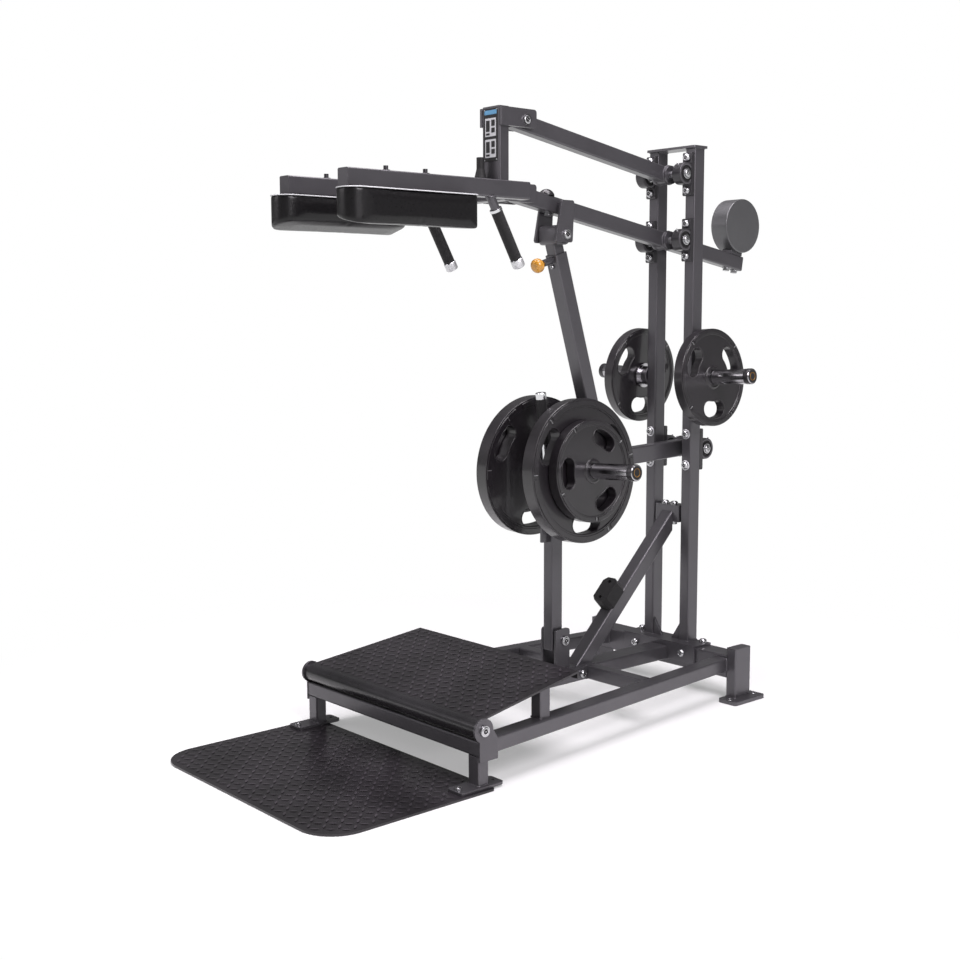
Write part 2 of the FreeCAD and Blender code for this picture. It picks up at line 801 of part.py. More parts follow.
def build_pads():
    levels = [(0, pad_draw), (pad_board_h, pad_draw), (pad_board_h + pad_draw, 0),
              (pad_outer_h - pad_crown, 0), (pad_outer_h - pad_crown / 2, pad_draw),
              (pad_outer_h - pad_draw, pad_edge), (pad_outer_h, pad_crown)]
    wires = [pad_wire(drop, inset) for drop, inset in levels]
    board = Part.makeLoft(wires[:2], True, True)
    neck = Part.makeLoft(wires[1:3], True, True)
    body = Part.makeLoft(wires[2:4], True, True)
    lower = Part.makeLoft(wires[3:], True, True)
    right = join([board, neck, body, lower])
    left = right.mirror(V(0, 0, 0), X)
    put("shoulder_pad_right", right)
    put("shoulder_pad_left", left)
    screws = []
    at_x = (shoulder_in + shoulder_out) / 2
    for ahead in (pad_bolt_ahead, pad_bolt_behind):
        p = V(at_x, mast_front - ahead, shoulder_top)
        washer = rod(p, p + Z * bolt_washer_t, pad_bolt_washer_r)
        screws += pair(join([washer, rod(p, p + Z * (bolt_washer_t + pad_bolt_h), pad_bolt_r)]))
    put_bolts(screws, "carriage_bolts")


def build_handles():
    lean = math.radians(handle_lean_degrees)
    axis = V(0, math.sin(lean), -math.cos(lean))
    start = V(handle_x, mast_front - handle_ahead, shoulder_bottom)
    stem = rod(start - axis * overrun, start + axis * grip_start, handle_rod_r)
    stem = stem.common(block((0, pad_out), (shoulder_front, shoulder_rear), (0, shoulder_bottom)))
    collar = rod(start + axis * (grip_start - grip_collar_t), start + axis * grip_start, grip_collar_r)
    core = rod(start + axis * grip_start, start + axis * grip_end, handle_rod_r)
    tip = rod(start + axis * grip_end, start + axis * handle_length, grip_collar_r)
    tip = tip.makeChamfer(bolt_washer_t, [e for e in tip.Edges if e.Closed])
    put("handles", pair(join([stem, collar, core, tip])))
    grip = rod(start + axis * grip_start, start + axis * grip_end, grip_r)
    put("grips", pair(grip.cut(rod(start, start + axis * handle_length, handle_rod_r))))


def link_frame():
    start = V(0, link_pin_y - link_start_ahead, link_pin_z - link_start_drop)
    end = V(0, drive_y, drive_z)
    axis = (end - start).normalize()
    out = axis.cross(X)
    return start, end, axis, out


def build_link():
    start, end, axis, out = link_frame()
    boss_half = clevis_half - clevis_t - side_gap
    boss = rod_x(-boss_half, boss_half, link_pin_y, link_pin_z, link_boss_r)
    inner_end = start + axis * inner_overlap
    inner = tube(start - axis * link_boss_r, inner_end, X, inner_w, inner_d)
    keep_top = rod_x(-boss_half, boss_half, link_pin_y, link_pin_z, link_boss_r - wall)
    shape = join([boss, inner.cut(keep_top)])
    clear = block((-clevis_half, clevis_half), (link_pin_y - 2 * clevis_ahead, link_pin_y + 2 * clevis_ahead),
                  (link_pin_z + link_boss_r, link_pin_z + clevis_over))
    shape = shape.cut(clear)
    shape = shape.cut(rod_x(-clevis_half, clevis_half, link_pin_y, link_pin_z, link_pin_r + fit))
    for i in range(adjust_holes):
        at = start + axis * (pop_along + i * adjust_step)
        shape = shape.cut(rod(at, at + out * inner_d, adjust_hole_r))
    put("link_tube", shape)

    length = (end - start).Length
    first = start + axis * sleeve_start
    last = start + axis * (length - sleeve_stop)
    sleeve = tube(first, last, X, sleeve_w, sleeve_d, thick=(sleeve_w - inner_w) / 2 - sleeve_play)
    at = start + axis * pop_along
    face = at + out * (sleeve_d / 2)
    barrel = rod(face - out * (sleeve_d - inner_d) / 2 + out * sleeve_play, face + out * pop_barrel_l, pop_barrel_r)
    shape = join([sleeve, barrel])
    shape = shape.cut(rod(at + out * (inner_d / 2), face + out * (pop_barrel_l + overrun), pop_pin_r + hole_play))
    up = last - axis * fork_w
    cheeks = []
    for sign in (-1, 1):
        x0, x1 = sorted((sign * fork_in, sign * (fork_in + fork_t)))
        strip = Part.Face(rounded(fork_w, fork_t, 0)).extrude(V(0, 0, (end - up).Length))
        strip = placed(strip, V(sign * (fork_in + fork_t / 2), up.y, up.z), out, axis)
        cheeks.append(join([strip, rod_x(x0, x1, drive_y, drive_z, fork_r)]))
    shape = join([shape] + cheeks)
    shape = shape.cut(rod_x(-clevis_half, clevis_half, drive_y, drive_z, drive_pin_r + drive_play))
    put("link_sleeve", shape)

    root = at + out * (inner_d / 2 - pop_grip_in)
    neck_at = face + out * (pop_barrel_l + pop_gap)
    pin = rod(root, neck_at, pop_pin_r)
    neck = rod(neck_at, neck_at + out * pop_grip_in, pop_neck_r)
    knob = rod(neck_at + out * pop_grip_in, neck_at + out * (pop_grip_in + knob_t), knob_r)
    knob = knob.makeFillet(knob_edge, [e for e in knob.Edges if e.Closed])
    put("pull_knob", join([pin, neck, knob]))


def horn(x_root, x_collar, x_end, y, z, x_mid):
    root = rod_x(x_root, x_collar, y, z, horn_root_r)
    collar = rod_x(x_collar - horn_collar_t, x_collar, y, z, horn_collar_r)
    bar = rod_x(x_collar, x_end, y, z, horn_r)
    shape = join([root, collar, bar])
    cap = rod_x(x_end, x_end + horn_cap_t, y, z, horn_cap_r)
    cap = cap.makeChamfer(bolt_washer_t, [e for e in cap.Edges if e.Closed])
    return [tilted(s, x_mid, z, -horn_tilt_degrees) for s in (join([shape, cap]),)]


def weight_plate(x0, thick, radius, y, z, x_mid, turns, grip):
    bore = horn_r + plate_play
    rim, web, hub = radius * (1 - rim_share), thick * web_share, radius * hub_share
    inset = (thick - web) / 2
    slope = inset / 2
    outline = [(0, bore), (0, hub), (inset, hub + slope), (inset, rim - slope), (0, rim), (0, radius - slope),
               (slope, radius), (thick - slope, radius), (thick, radius - slope), (thick, rim),
               (thick - inset, rim - slope), (thick - inset, hub + slope), (thick, hub), (thick, bore)]
    wire = Part.makePolygon([V(x0 + px, y, z + pr) for px, pr in outline + outline[:1]])
    plate = Part.Face(wire).revolve(V(x0, y, z), X, 360)
    half = math.radians(grip[2] / 2)
    mid_r, slot = radius * grip[0], radius * grip[1] / 2
    for turn in turns:
        cutter = slot_cutter(x0 - overrun, x0 + thick + overrun, y, z, mid_r, slot, half, math.radians(turn))
        plate = plate.cut(cutter)
    return tilted(plate, x_mid, z, -horn_tilt_degrees)


def slot_cutter(x0, x1, y, z, mid_r, slot, half, turn):
    def at(r, a):
        return V(x0, y + r * math.cos(a), z + r * math.sin(a))
    a, b = turn - half, turn + half
    outer, inner = mid_r + slot, mid_r - slot
    edges = [Part.Arc(at(outer, a), at(outer, turn), at(outer, b)).toShape(),
             Part.Arc(at(outer, b), at(mid_r, b) + (at(mid_r, b + slot / mid_r) - at(mid_r, b)), at(inner, b)).toShape(),
             Part.Arc(at(inner, b), at(inner, turn), at(inner, a)).toShape(),
             Part.Arc(at(inner, a), at(mid_r, a - slot / mid_r), at(outer, a)).toShape()]
    return Part.Face(Part.Wire(edges)).extrude(V(x1 - x0, 0, 0))


def build_weights():
    arm = tube(V(0, weight_y - weight_arm_reach, weight_z), V(0, weight_y, weight_z), X, weight_arm_w,
               weight_arm_d, caps=(True, False))
    hub = rod_x(-hub_half, hub_half, weight_y, weight_z, weight_hub_r)
    shape = join([arm, hub]).cut(rod_x(-hub_half - overrun, hub_half + overrun, weight_y, weight_z, shaft_r))
    shape = turned(shape, weight_y, weight_z, math.degrees(weight_slope))
    pin_half = fork_in + fork_t + side_gap
    pin = rod_x(-pin_half, pin_half, drive_y, drive_z, drive_pin_r)
    parts = [shape.fuse(pin)]
    for sign in (-1, 1):
        parts.append(rod_x(sign * pin_half, sign * (pin_half + drive_washer_t), drive_y, drive_z, drive_washer_r))
    put("weight_arm", join(parts))

    mid = big_plate_in + big_plate_t / 2
    wide = block((-weight_arm_w / 2, weight_arm_w / 2), (sleeve_axis_y - big_plate_r, weight_y),
                 (sleeve_axis_z - big_plate_r, sleeve_axis_z + big_plate_r))
    sleeve = [s.cut(wide) for s in horn(0, big_plate_in - plate_gap, horn_end, sleeve_axis_y, sleeve_axis_z, mid)]
    put("weight_sleeve_right", sleeve)
    put("weight_sleeve_left", [s.mirror(V(0, 0, 0), X) for s in sleeve])
    big = weight_plate(big_plate_in, big_plate_t, big_plate_r, sleeve_axis_y, sleeve_axis_z, mid, (-90, 30, 150),
                       (big_grip_radius_share, big_grip_width_share, big_grip_arc_degrees))
    small = weight_plate(big_plate_in + big_plate_t + plate_gap, small_plate_t, small_plate_r, sleeve_axis_y,
                         sleeve_axis_z, mid, (180, 60, -60),
                         (small_grip_radius_share, small_grip_width_share, small_grip_arc_degrees))
    for name, shape in (("weight_plate_big", big), ("weight_plate_small", small)):
        put(name + "_right", shape)
        put(name + "_left", shape.mirror(V(0, 0, 0), X))

    mid = store_plate_in + store_plate_t / 2
    solid_upright = block((0, upright_x + upright_w / 2), (-upright_d, 2 * upright_d),
                          (store_z - store_plate_r, store_z + store_plate_r))
    store = [s.cut(solid_upright) for s in horn(upright_x, store_plate_in - plate_gap, store_horn_end,
                                               store_y, store_z, mid)]
    put("storage_horn_right", store)
    put("storage_horn_left", [s.mirror(V(0, 0, 0), X) for s in store])
    spare = weight_plate(store_plate_in, store_plate_t, store_plate_r, store_y, store_z, mid, (-90, 30, 150),
                         (store_grip_radius_share, store_grip_width_share, store_grip_arc_degrees))
    put("storage_plate_right", spare)
    put("storage_plate_left", spare.mirror(V(0, 0, 0), X))


def build_brace():
    turn = math.radians(brace_rise_degrees)
    half = brace_d / 2
    low_y = (spine_top - brace_offset) / math.tan(turn) - brace_d
    p = V(0, low_y, brace_offset + low_y * math.tan(turn))
    q = V(0, upright_d, brace_offset + upright_d * math.tan(turn))
    brace = tube(p, q, X, brace_w, brace_d)
    keep = block((-brace_w, brace_w), (low_y - brace_d, head_front), (spine_top, head_top))
    brace = brace.common(keep)
    inner = upright_x - upright_w / 2
    body = block((-head_half, head_half), (head_front, upright_d), (head_bottom, head_top))
    body = body.cut(block((-head_half + wall, head_half - wall), (head_front + wall, upright_d + overrun),
                          (head_bottom + wall, head_top - wall)))
    flange = plate_z((-head_half, head_half), (head_front, upright_d), (head_top, head_top + head_flange_t), 0)
    cheek = slab_x([(half / 2, head_bottom), (upright_d / 2, head_side_low), (upright_d, head_side_low),
                    (upright_d, head_top), (half / 2, head_top)], head_half, inner)
    head = join([body, flange] + pair(cheek))
    put("brace_head", head)
    put("diagonal_brace", brace.cut(block((-head_half, head_half), (head_front, upright_d), (head_bottom, head_top))))
    top = head_top + head_flange_t
    bolts = [bolt(V(s * head_bolt_x, head_bolt_y, top), Z, 0) for s in (-1, 1)]
    bolts += [bolt(V(s * head_bolt_x, head_bolt_y, head_bottom), V(0, 0, -1), 0) for s in (-1, 1)]
    put_bolts(bolts)

    lump = block((-block_w / 2, block_w / 2), (-block_l / 2, block_l / 2), (0, block_h))
    lump = lump.makeChamfer(block_chamfer, [e for e in lump.Edges if along_z(e)])
    for s in (-1, 1):
        lump = lump.cut(rod(V(0, s * block_hole_step, block_h - block_hole_deep),
                            V(0, s * block_hole_step, block_h + overrun), block_hole_r))
    lump.rotate(V(0, 0, 0), X, brace_rise_degrees)
    lump.translate(V(0, block_y, block_z))
    surface = brace_offset + half / math.cos(turn)
    shift = surface - (block_z - block_y * math.tan(turn))
    lump.translate(V(0, -shift * math.sin(turn) * math.cos(turn), shift * math.cos(turn) * math.cos(turn)))
    put("bumper_block", lump)


def build_prop():
    base = spine_top + ear_base_t
    foot = plate_z((-spine_w / 2, spine_w / 2), (ear_base_front, ear_base_rear), (spine_top, base), 0)
    ear = slab_x([(ear_front, base), (ear_rear, base), (ear_rear, ear_top), (ear_front, ear_top)],
                 ear_in, ear_in + ear_t)
    ear = softened(ear, ear_r, lambda e: along_x(e) and e.Vertexes[0].Z > ear_top - fit)
    ear = ear.cut(rod_x(0, ear_in + 2 * ear_t, prop_y, prop_z, prop_pin_r + fit))
    put("prop_bracket", join([foot] + pair(ear)))
    outer = ear_in + ear_t
    heads = [rod_x(s * outer, s * (outer + pin_head_t), prop_y, prop_z, pin_head_r) for s in (-1, 1)]
    put_bolts([join([rod_x(-outer, outer, prop_y, prop_z, prop_pin_r)] + heads)])

    middle = prop_front + prop_d / 2
    top = prop_z + prop_high
    post = tube(V(0, middle, prop_z - prop_low), V(0, middle, top), X, 2 * prop_half_w, prop_d,
                caps=(True, True))
    boss = rod_x(-ear_in + side_gap, ear_in - side_gap, prop_y, prop_z, prop_pin_r + 2 * wall)
    post = join([post, boss]).cut(rod_x(-outer, outer, prop_y, prop_z, prop_pin_r + fit))
    hook = block((-hook_t / 2, hook_t / 2), (prop_front - hook_out, prop_front),
                 (top + hook_rise - hook_h, top + hook_rise))
    put("prop_post", join([post, hook]))
    lean = math.radians(prop_rod_lean_degrees)
    axis = V(0, -math.sin(lean), math.cos(lean))
    start = V(0, prop_rod_y, top)
    bar = rod(start - axis * overrun, start + axis * prop_grip_end, prop_rod_r)
    bar = bar.common(block((-prop_d, prop_d), (prop_rod_y - prop_rod_length, prop_rod_y + prop_d),
                           (top, mast_top)))
    tip = rod(start + axis * prop_grip_end, start + axis * prop_rod_length, prop_cap_r)
    tip = tip.makeChamfer(bolt_washer_t, [e for e in tip.Edges if e.Closed])
    put("prop_rod", join([bar, tip]))
    grip = rod(start + axis * prop_grip_start, start + axis * prop_grip_end, prop_grip_r)
    put("prop_grip", grip.cut(rod(start, start + axis * prop_rod_length, prop_rod_r)))


def build_platform():
    inner = leg_out
    outline = [(bracket_front, bracket_bottom), (bracket_rear, bracket_bottom), (bracket_rear, rail_top),
               (roller_y + ring_r, roller_z), (bracket_front, roller_z)]
    plate = slab_x(outline, inner, inner + bracket_t)
    ring = rod_x(inner, inner + bracket_t, roller_y, roller_z, ring_r)
    plate = join([plate, ring]).cut(rod_x(0, inner + 2 * bracket_t, roller_y, roller_z, roller_bolt_r + fit))
    put("side_brackets", pair(plate))
    half = inner - roller_end_gap
    roller = rod_x(-half, half, roller_y, roller_z, roller_r)
    roller = roller.cut(rod_x(-half - overrun, half + overrun, roller_y, roller_z, roller_r - roller_wall))
    plugs = [rod_x(s * half, s * (half - 2 * roller_wall), roller_y, roller_z, roller_r - roller_wall)
             for s in (-1, 1)]
    roller = join([roller] + plugs)
    for s in (-1, 1):
        roller = roller.cut(rod_x(s * (half - leg_depth), s * (half + overrun), roller_y, roller_z, roller_bolt_r))
    put("platform_roller", roller)
    outer = inner + bracket_t
    pins = []
    for s in (-1, 1):
        shank = rod_x(s * (half - 2 * roller_wall), s * outer, roller_y, roller_z, roller_bolt_r)
        pins.append(join([shank, rod_x(s * outer, s * (outer + pin_head_t), roller_y, roller_z, pin_head_r)]))
    put_bolts(pins)

    turn = math.radians(deck_rise_degrees)
    n_y, n_z = -math.sin(turn), math.cos(turn)
    front = (roller_y + n_y * roller_r, roller_z + n_z * roller_r)
    run = deck_rear_y - front[0]
    rear = (deck_rear_y, front[1] + run * math.tan(turn))
    deck = slab_x([front, rear, (rear[0] - n_y * deck_t, rear[1] - n_z * deck_t),
                   (front[0] - n_y * deck_t, front[1] - n_z * deck_t)], -deck_front_half, deck_front_half)
    lip = slab_x([(rear[0] - n_y * deck_t - deck_t, rear[1] - n_z * deck_t), (rear[0], rear[1] - n_z * deck_t),
                  (rear[0], rear[1] - deck_lip), (rear[0] - deck_t, rear[1] - deck_lip)],
                 -deck_front_half, deck_front_half)
    deck = join([deck, lip])
    deck = deck.cut(rod_x(-leg_out, leg_out, roller_y, roller_z, roller_r + soft_gap))
    trim = slab_z([(-deck_front_half, front[0]), (-deck_rear_half, deck_rear_y + overrun),
                   (deck_rear_half, deck_rear_y + overrun), (deck_front_half, front[0])], 0, mast_top)
    put("platform_deck", deck.common(trim))

    post = tube(V(post_x_in + post_w / 2, post_front + post_d / 2, rail_top),
                V(post_x_in + post_w / 2, post_front + post_d / 2, rail_top + upright_d + post_w),
                X, post_w, post_d)
    under = slab_x([(front[0], 0), (front[0] - n_y * deck_t, front[1] - n_z * deck_t),
                    (rear[0] - n_y * deck_t, rear[1] - n_z * deck_t), (rear[0], 0)], 0, leg_out)
    put("platform_posts", pair(post.common(under)))


def main():
    for step in (build_base, build_rear, build_uprights, build_bearings, build_arms, build_clevis,
                 build_carriage, build_link, build_weights, build_brace, build_prop, build_platform):
        step()
    for name, shapes in FASTENERS.items():
        put(name, shapes)
    os.makedirs("parts", exist_ok=True)
    for name, solids in NODES.items():
        shape = Part.makeCompound(solids) if len(solids) > 1 else solids[0]
        shape = shape.copy()
        shape.translate(V(0, -middle_y, 0))
        shape.exportStep("parts/%s.step" % name)
    print(len(NODES), "nodes", round(middle_y, 3))


main()
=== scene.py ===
"""Finishes and small parts for a plate-loaded squat machine.

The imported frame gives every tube, arm, bearing and plate. This file adds what a maker
fits or presses on last: treads, pads, grips, lips, rings and beads, and paints it all.
"""

import math
from collections import namedtuple

import bmesh
import bpy
from mathutils import Matrix, Vector


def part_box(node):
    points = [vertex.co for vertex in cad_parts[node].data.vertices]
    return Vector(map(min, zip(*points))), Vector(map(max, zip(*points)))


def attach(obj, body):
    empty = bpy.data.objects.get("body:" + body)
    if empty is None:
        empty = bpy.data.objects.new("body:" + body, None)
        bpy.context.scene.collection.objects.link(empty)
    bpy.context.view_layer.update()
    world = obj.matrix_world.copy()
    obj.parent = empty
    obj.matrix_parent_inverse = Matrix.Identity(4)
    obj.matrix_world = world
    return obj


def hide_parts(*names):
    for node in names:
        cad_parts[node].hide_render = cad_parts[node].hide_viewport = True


bl_info = {
    "name": "Squat machine finishes",
    "version": (1, 0, 0),
    "blender": (4, 5, 0),
    "location": "3D View > Sidebar > Squat machine",
    "description": "Treads, pads, grips and paint for a plate-loaded squat machine",
    "category": "Object",
}

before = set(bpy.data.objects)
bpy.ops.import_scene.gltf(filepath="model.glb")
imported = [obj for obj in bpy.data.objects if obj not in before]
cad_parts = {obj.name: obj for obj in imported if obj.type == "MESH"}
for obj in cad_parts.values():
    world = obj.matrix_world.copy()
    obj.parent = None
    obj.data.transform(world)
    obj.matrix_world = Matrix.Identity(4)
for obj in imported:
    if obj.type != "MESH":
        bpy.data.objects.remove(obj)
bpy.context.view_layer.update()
X, Y, Z = Vector((1, 0, 0)), Vector((0, 1, 0)), Vector((0, 0, 1))
SIDES = ((1, "right"), (-1, "left"))
UPRIGHT_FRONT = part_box("upright_right")[0].y


def at(x, y, z):
    """A point in millimetres, counted from the front faces of the uprights."""
    return Vector((x / 1000, y / 1000 + UPRIGHT_FRONT, z / 1000))


# Shafts and pins as (y, z) in millimetres, and the middle of each sleeve with its x
UPPER_BEARING, LOWER_BEARING, WEIGHT_BEARING = (-36.5, 1732), (-36.5, 1518), (87.5, 818)
MAST_PIN, LINK_PIN, PROP_PIN, ROLLER_PIN = (-710.5, 1848.4), (-543, 1519), (-528, 236), (-1204, 168)
SLEEVE, SLEEVE_X = (-534.7, 791.4), 105.6
HORN, HORN_X = (25.3, 1063.9), 155.9
SLEEVE_RISE, DECK_RISE = math.radians(3.2), math.radians(7.9)
UPRIGHT_X, UPRIGHT_HALF, ARM_HALF = 79.7, 20, 20
HANDLE_TOP, HANDLE_LEAN = at(150, -943, 1603.5), math.radians(29.7)


# Shader maths


class Signal:
    """One shader socket, used in sums and products like a number."""

    def __init__(self, tree, socket):
        self.tree = tree
        self.socket = socket

    def _math(self, operation, *values):
        return self.tree.add("ShaderNodeMath", {"operation": operation}, *values)

    def __add__(self, other):
        return self._math("ADD", self, other)

    __radd__ = __add__

    def __sub__(self, other):
        return self._math("SUBTRACT", self, other)

    def __rsub__(self, other):
        return self._math("SUBTRACT", other, self)

    def __mul__(self, other):
        return self._math("MULTIPLY", self, other)

    __rmul__ = __mul__

    def step(self, low, high, bottom=0.0, top=1.0):
        """Goes smoothly from bottom to top as the signal goes from low to high."""
        settings = {"interpolation_type": "SMOOTHSTEP"}
        return self.tree.add("ShaderNodeMapRange", settings, self, low, high, bottom, top)


class Nodes:
    """A node tree under construction, with one method that makes every node."""

    def __init__(self, tree):
        self.nodes = tree.nodes
        self.links = tree.links

    def feed(self, target, value):
        """Links a signal to a socket, or writes a plain value on it."""
        if isinstance(value, Signal):
            self.links.new(value.socket, target)
        else:
            target.default_value = value

    def add(self, kind, settings=None, *inputs, output=0, **named):
        """A node with its settings, then its sockets in order (None leaves one) or by name."""
        node = self.nodes.new(kind)
        for key, value in (settings or {}).items():
            setattr(node, key, value)
        pairs = list(zip(node.inputs, inputs))
        pairs += [(node.inputs[socket], value) for socket, value in named.items()]
        for target, value in pairs:
            if value is not None:
                self.feed(target, value)
        return Signal(self, node.outputs[output])


class Finish(Nodes):
    """A material under construction: one Principled shader and what feeds it."""

    def __init__(self, name, colour, roughness, metallic=0.0, **fixed):
        self.material = bpy.data.materials.new(name)
        self.material.use_nodes = True
        super().__init__(self.material.node_tree)
        self.shader = self.nodes["Principled BSDF"]
        self.colour = shade(colour, 1.0)
        self.set("Base Color", self.colour)
        self.set("Roughness", roughness)
        self.set("Metallic", metallic)
        for socket, value in fixed.items():
            self.set(socket.replace("_", " "), value)

    def set(self, socket, value):
        self.feed(self.shader.inputs[socket], value)

    def place(self):
        return self.add("ShaderNodeTexCoord", output="Object")

    def grain(self, scale, detail=2.0, rough=0.5):
        return self.add("ShaderNodeTexNoise", Vector=self.place(), Scale=scale, Detail=detail,
                        Roughness=rough)

    def cells(self, scale, feature="F1"):
        return self.add("ShaderNodeTexVoronoi", {"feature": feature}, Vector=self.place(), Scale=scale)

    def mottle(self, mask, dark, light):
        """Varies the base colour by a mask, from a darker to a lighter share of itself."""
        number_sockets = [None] * 5
        mixed = self.add("ShaderNodeMix", {"data_type": "RGBA"}, mask, *number_sockets,
                         shade(self.colour, dark), shade(self.colour, light), output=2)
        self.set("Base Color", mixed)

    def relief(self, height, strength, distance, below=None):
        bump = self.add("ShaderNodeBump", Strength=strength, Distance=distance, Height=height,
                        Normal=below)
        self.set("Normal", bump)

    def soft_edges(self, radius):
        return self.add("ShaderNodeBevel", {"samples": 4}, Radius=radius)


def shade(colour, factor):
    return tuple(min(1.0, c * factor) for c in colour[:3]) + (1.0,)


# Sizes and colours


def length(name, about, value):
    return bpy.props.FloatProperty(name=name, description=about, default=value, unit="LENGTH",
                                   min=0.0, precision=4)


def tint(name, about, value):
    return bpy.props.FloatVectorProperty(name=name, description=about, default=value, size=3,
                                         min=0.0, max=1.0, subtype="COLOR")


class SquatSizes(bpy.types.PropertyGroup):
    lozenge_pitch: length("Tread pitch", "Distance between raised lozenges", 0.0285)
    lozenge_length: length("Lozenge length", "Length of one raised lozenge", 0.024)
    lozenge_width: length("Lozenge width", "Width of one raised lozenge", 0.0078)
    lozenge_height: length("Lozenge height", "How far a lozenge stands up", 0.0017)
    pad_voxel: length("Pad mesh size", "Grid that the pad is remeshed on", 0.0042)
    pad_swell: length("Pad swell", "Most that a point of the pad moves when it fills", 0.0035)
    edging: length("Pad edging", "Thickness of the pale edging on the pad board", 0.0032)
    bead: length("Weld bead", "Half width of a weld bead", 0.0026)
    lip: length("Plate lip", "Half width of the raised lip round a grip slot", 0.0016)
    rim_rise: length("Rim rise", "Height of the raised arcs on a plate's rim", 0.0021)


class SquatColours(bpy.types.PropertyGroup):
    paint: tint("Frame paint", "Metallic grey of the frame", (0.0955, 0.091, 0.1))
    tread: tint("Tread", "Black of the tread plates", (0.0186, 0.016, 0.019))
    roller: tint("Roller", "Black of the platform roller", (0.021, 0.0195, 0.022))
    iron: tint("Plate iron", "Satin black of the weight plates", (0.0106, 0.0083, 0.011))
    casting: tint("Castings", "Grey of the bearing housings", (0.048, 0.0455, 0.05))
    drum: tint("Counterweight", "Plain grey of the counterweight", (0.13, 0.13, 0.135))
    vinyl: tint("Pad vinyl", "Soft black of the shoulder pads", (0.0045, 0.0039, 0.0047))
    # The edging's pale grey is a painted highlight along the pads' top edge.
    edging: tint("Pad edging", "Pale grey of the edging on the pad boards", (0.6, 0.6, 0.62))
    placard: tint("Placard", "Pale panels of the blank placard", (0.52, 0.52, 0.54))
    band: tint("Placard band", "Blue band on the blank placard", (0.09, 0.27, 0.46))
    rubber: tint("Rubber", "Black of grips and stops", (0.009, 0.0084, 0.0091))
    amber: tint("Knob", "Amber of the pull knob", (0.62, 0.29, 0.035))
    chrome: tint("Chrome", "Plated steel", (0.74, 0.74, 0.76))
    sleeve: tint("Sleeve", "Plated steel of the plate sleeves", (0.46, 0.45, 0.47))


# Finishes


def paint_finish(name, colour, edge=0.0022):
    paint = Finish(name, colour, 0.34, metallic=0.6, Coat_Weight=0.22, Coat_Roughness=0.16)
    flake = paint.cells(2600.0)
    cloud = paint.grain(5.0, detail=3.0)
    paint.mottle(cloud.step(0.3, 0.7) * 0.55 + flake * 0.3, 0.9, 1.12)
    paint.set("Roughness", 0.3 + paint.grain(38.0) * 0.1)
    paint.relief(paint.grain(420.0, detail=3.0), 0.1, 0.0004, below=paint.soft_edges(edge))
    return paint.material


def iron_finish(name, colour):
    iron = Finish(name, colour, 0.34, metallic=0.1, Specular_IOR_Level=0.6, Coat_Weight=0.5,
                  Coat_Roughness=0.12)
    cloud = iron.grain(9.0, detail=4.0)
    iron.mottle(cloud.step(0.3, 0.75), 0.82, 1.25)
    iron.set("Roughness", 0.3 + iron.grain(60.0) * 0.14)
    iron.relief(iron.grain(520.0, detail=4.0), 0.18, 0.0005, below=iron.soft_edges(0.0024))
    return iron.material


def tread_finish(name, colour):
    tread = Finish(name, colour, 0.28, metallic=0.25, Coat_Weight=0.22, Coat_Roughness=0.12)
    cloud = tread.grain(6.0, detail=4.0)
    tread.mottle(cloud.step(0.3, 0.7), 0.8, 1.5)
    tread.set("Roughness", 0.22 + tread.grain(45.0, detail=4.0) * 0.16)
    tread.relief(tread.grain(300.0, detail=4.0), 0.3, 0.0006)
    return tread.material


def vinyl_finish(name, colour):
    skin = Finish(name, colour, 0.32, Specular_IOR_Level=0.3, Coat_Weight=0.2, Coat_Roughness=0.12)
    pores = skin.cells(900.0, feature="DISTANCE_TO_EDGE").step(0.0, 0.09)
    crease = skin.grain(140.0, detail=5.0, rough=0.6)
    skin.mottle(crease.step(0.35, 0.7), 0.85, 1.3)
    skin.set("Roughness", 0.27 + crease * 0.1 - pores * 0.03)
    skin.relief(pores * 0.7 + crease * 0.5, 0.16, 0.0005)
    return skin.material


def rubber_finish(name, colour):
    skin = Finish(name, colour, 0.62, Specular_IOR_Level=0.35, Sheen_Weight=0.06)
    speck = skin.grain(700.0, detail=4.0)
    skin.mottle(speck, 0.8, 1.5)
    skin.set("Roughness", 0.55 + skin.grain(70.0) * 0.15)
    skin.relief(speck, 0.25, 0.0004)
    return skin.material


def plated_finish(name, colour, roughness):
    metal = Finish(name, colour, roughness, metallic=1.0)
    haze = metal.grain(30.0, detail=4.0)
    metal.set("Roughness", roughness * 0.75 + haze * roughness * 0.55)
    metal.mottle(haze, 0.93, 1.06)
    metal.relief(metal.grain(900.0), 0.05, 0.0003, below=metal.soft_edges(0.0009))
    return metal.material


def amber_finish(name, colour):
    knob = Finish(name, colour, 0.24, Coat_Weight=0.5, Coat_Roughness=0.08)
    swirl = knob.grain(60.0, detail=3.0)
    knob.mottle(swirl.step(0.35, 0.7), 0.72, 1.15)
    knob.set("Roughness", 0.2 + swirl * 0.08)
    knob.relief(knob.grain(240.0), 0.05, 0.0003)
    return knob.material


def plain_finish(name, colour):
    film = Finish(name, colour, 0.36, Coat_Weight=0.2, Coat_Roughness=0.2)
    cloud = film.grain(70.0)
    film.mottle(cloud, 0.93, 1.07)
    film.set("Roughness", 0.32 + cloud * 0.1)
    film.relief(film.grain(500.0), 0.08, 0.0003)
    return film.material


def knurled_finish(name, colour):
    metal = Finish(name, colour, 0.5, metallic=1.0)
    teeth = metal.cells(900.0)
    metal.mottle(teeth.step(0.2, 0.7), 1.0, 0.86)
    metal.set("Roughness", 0.46 + teeth * 0.12)
    metal.relief(teeth, 0.5, 0.0005)
    return metal.material


FINISHES = {}


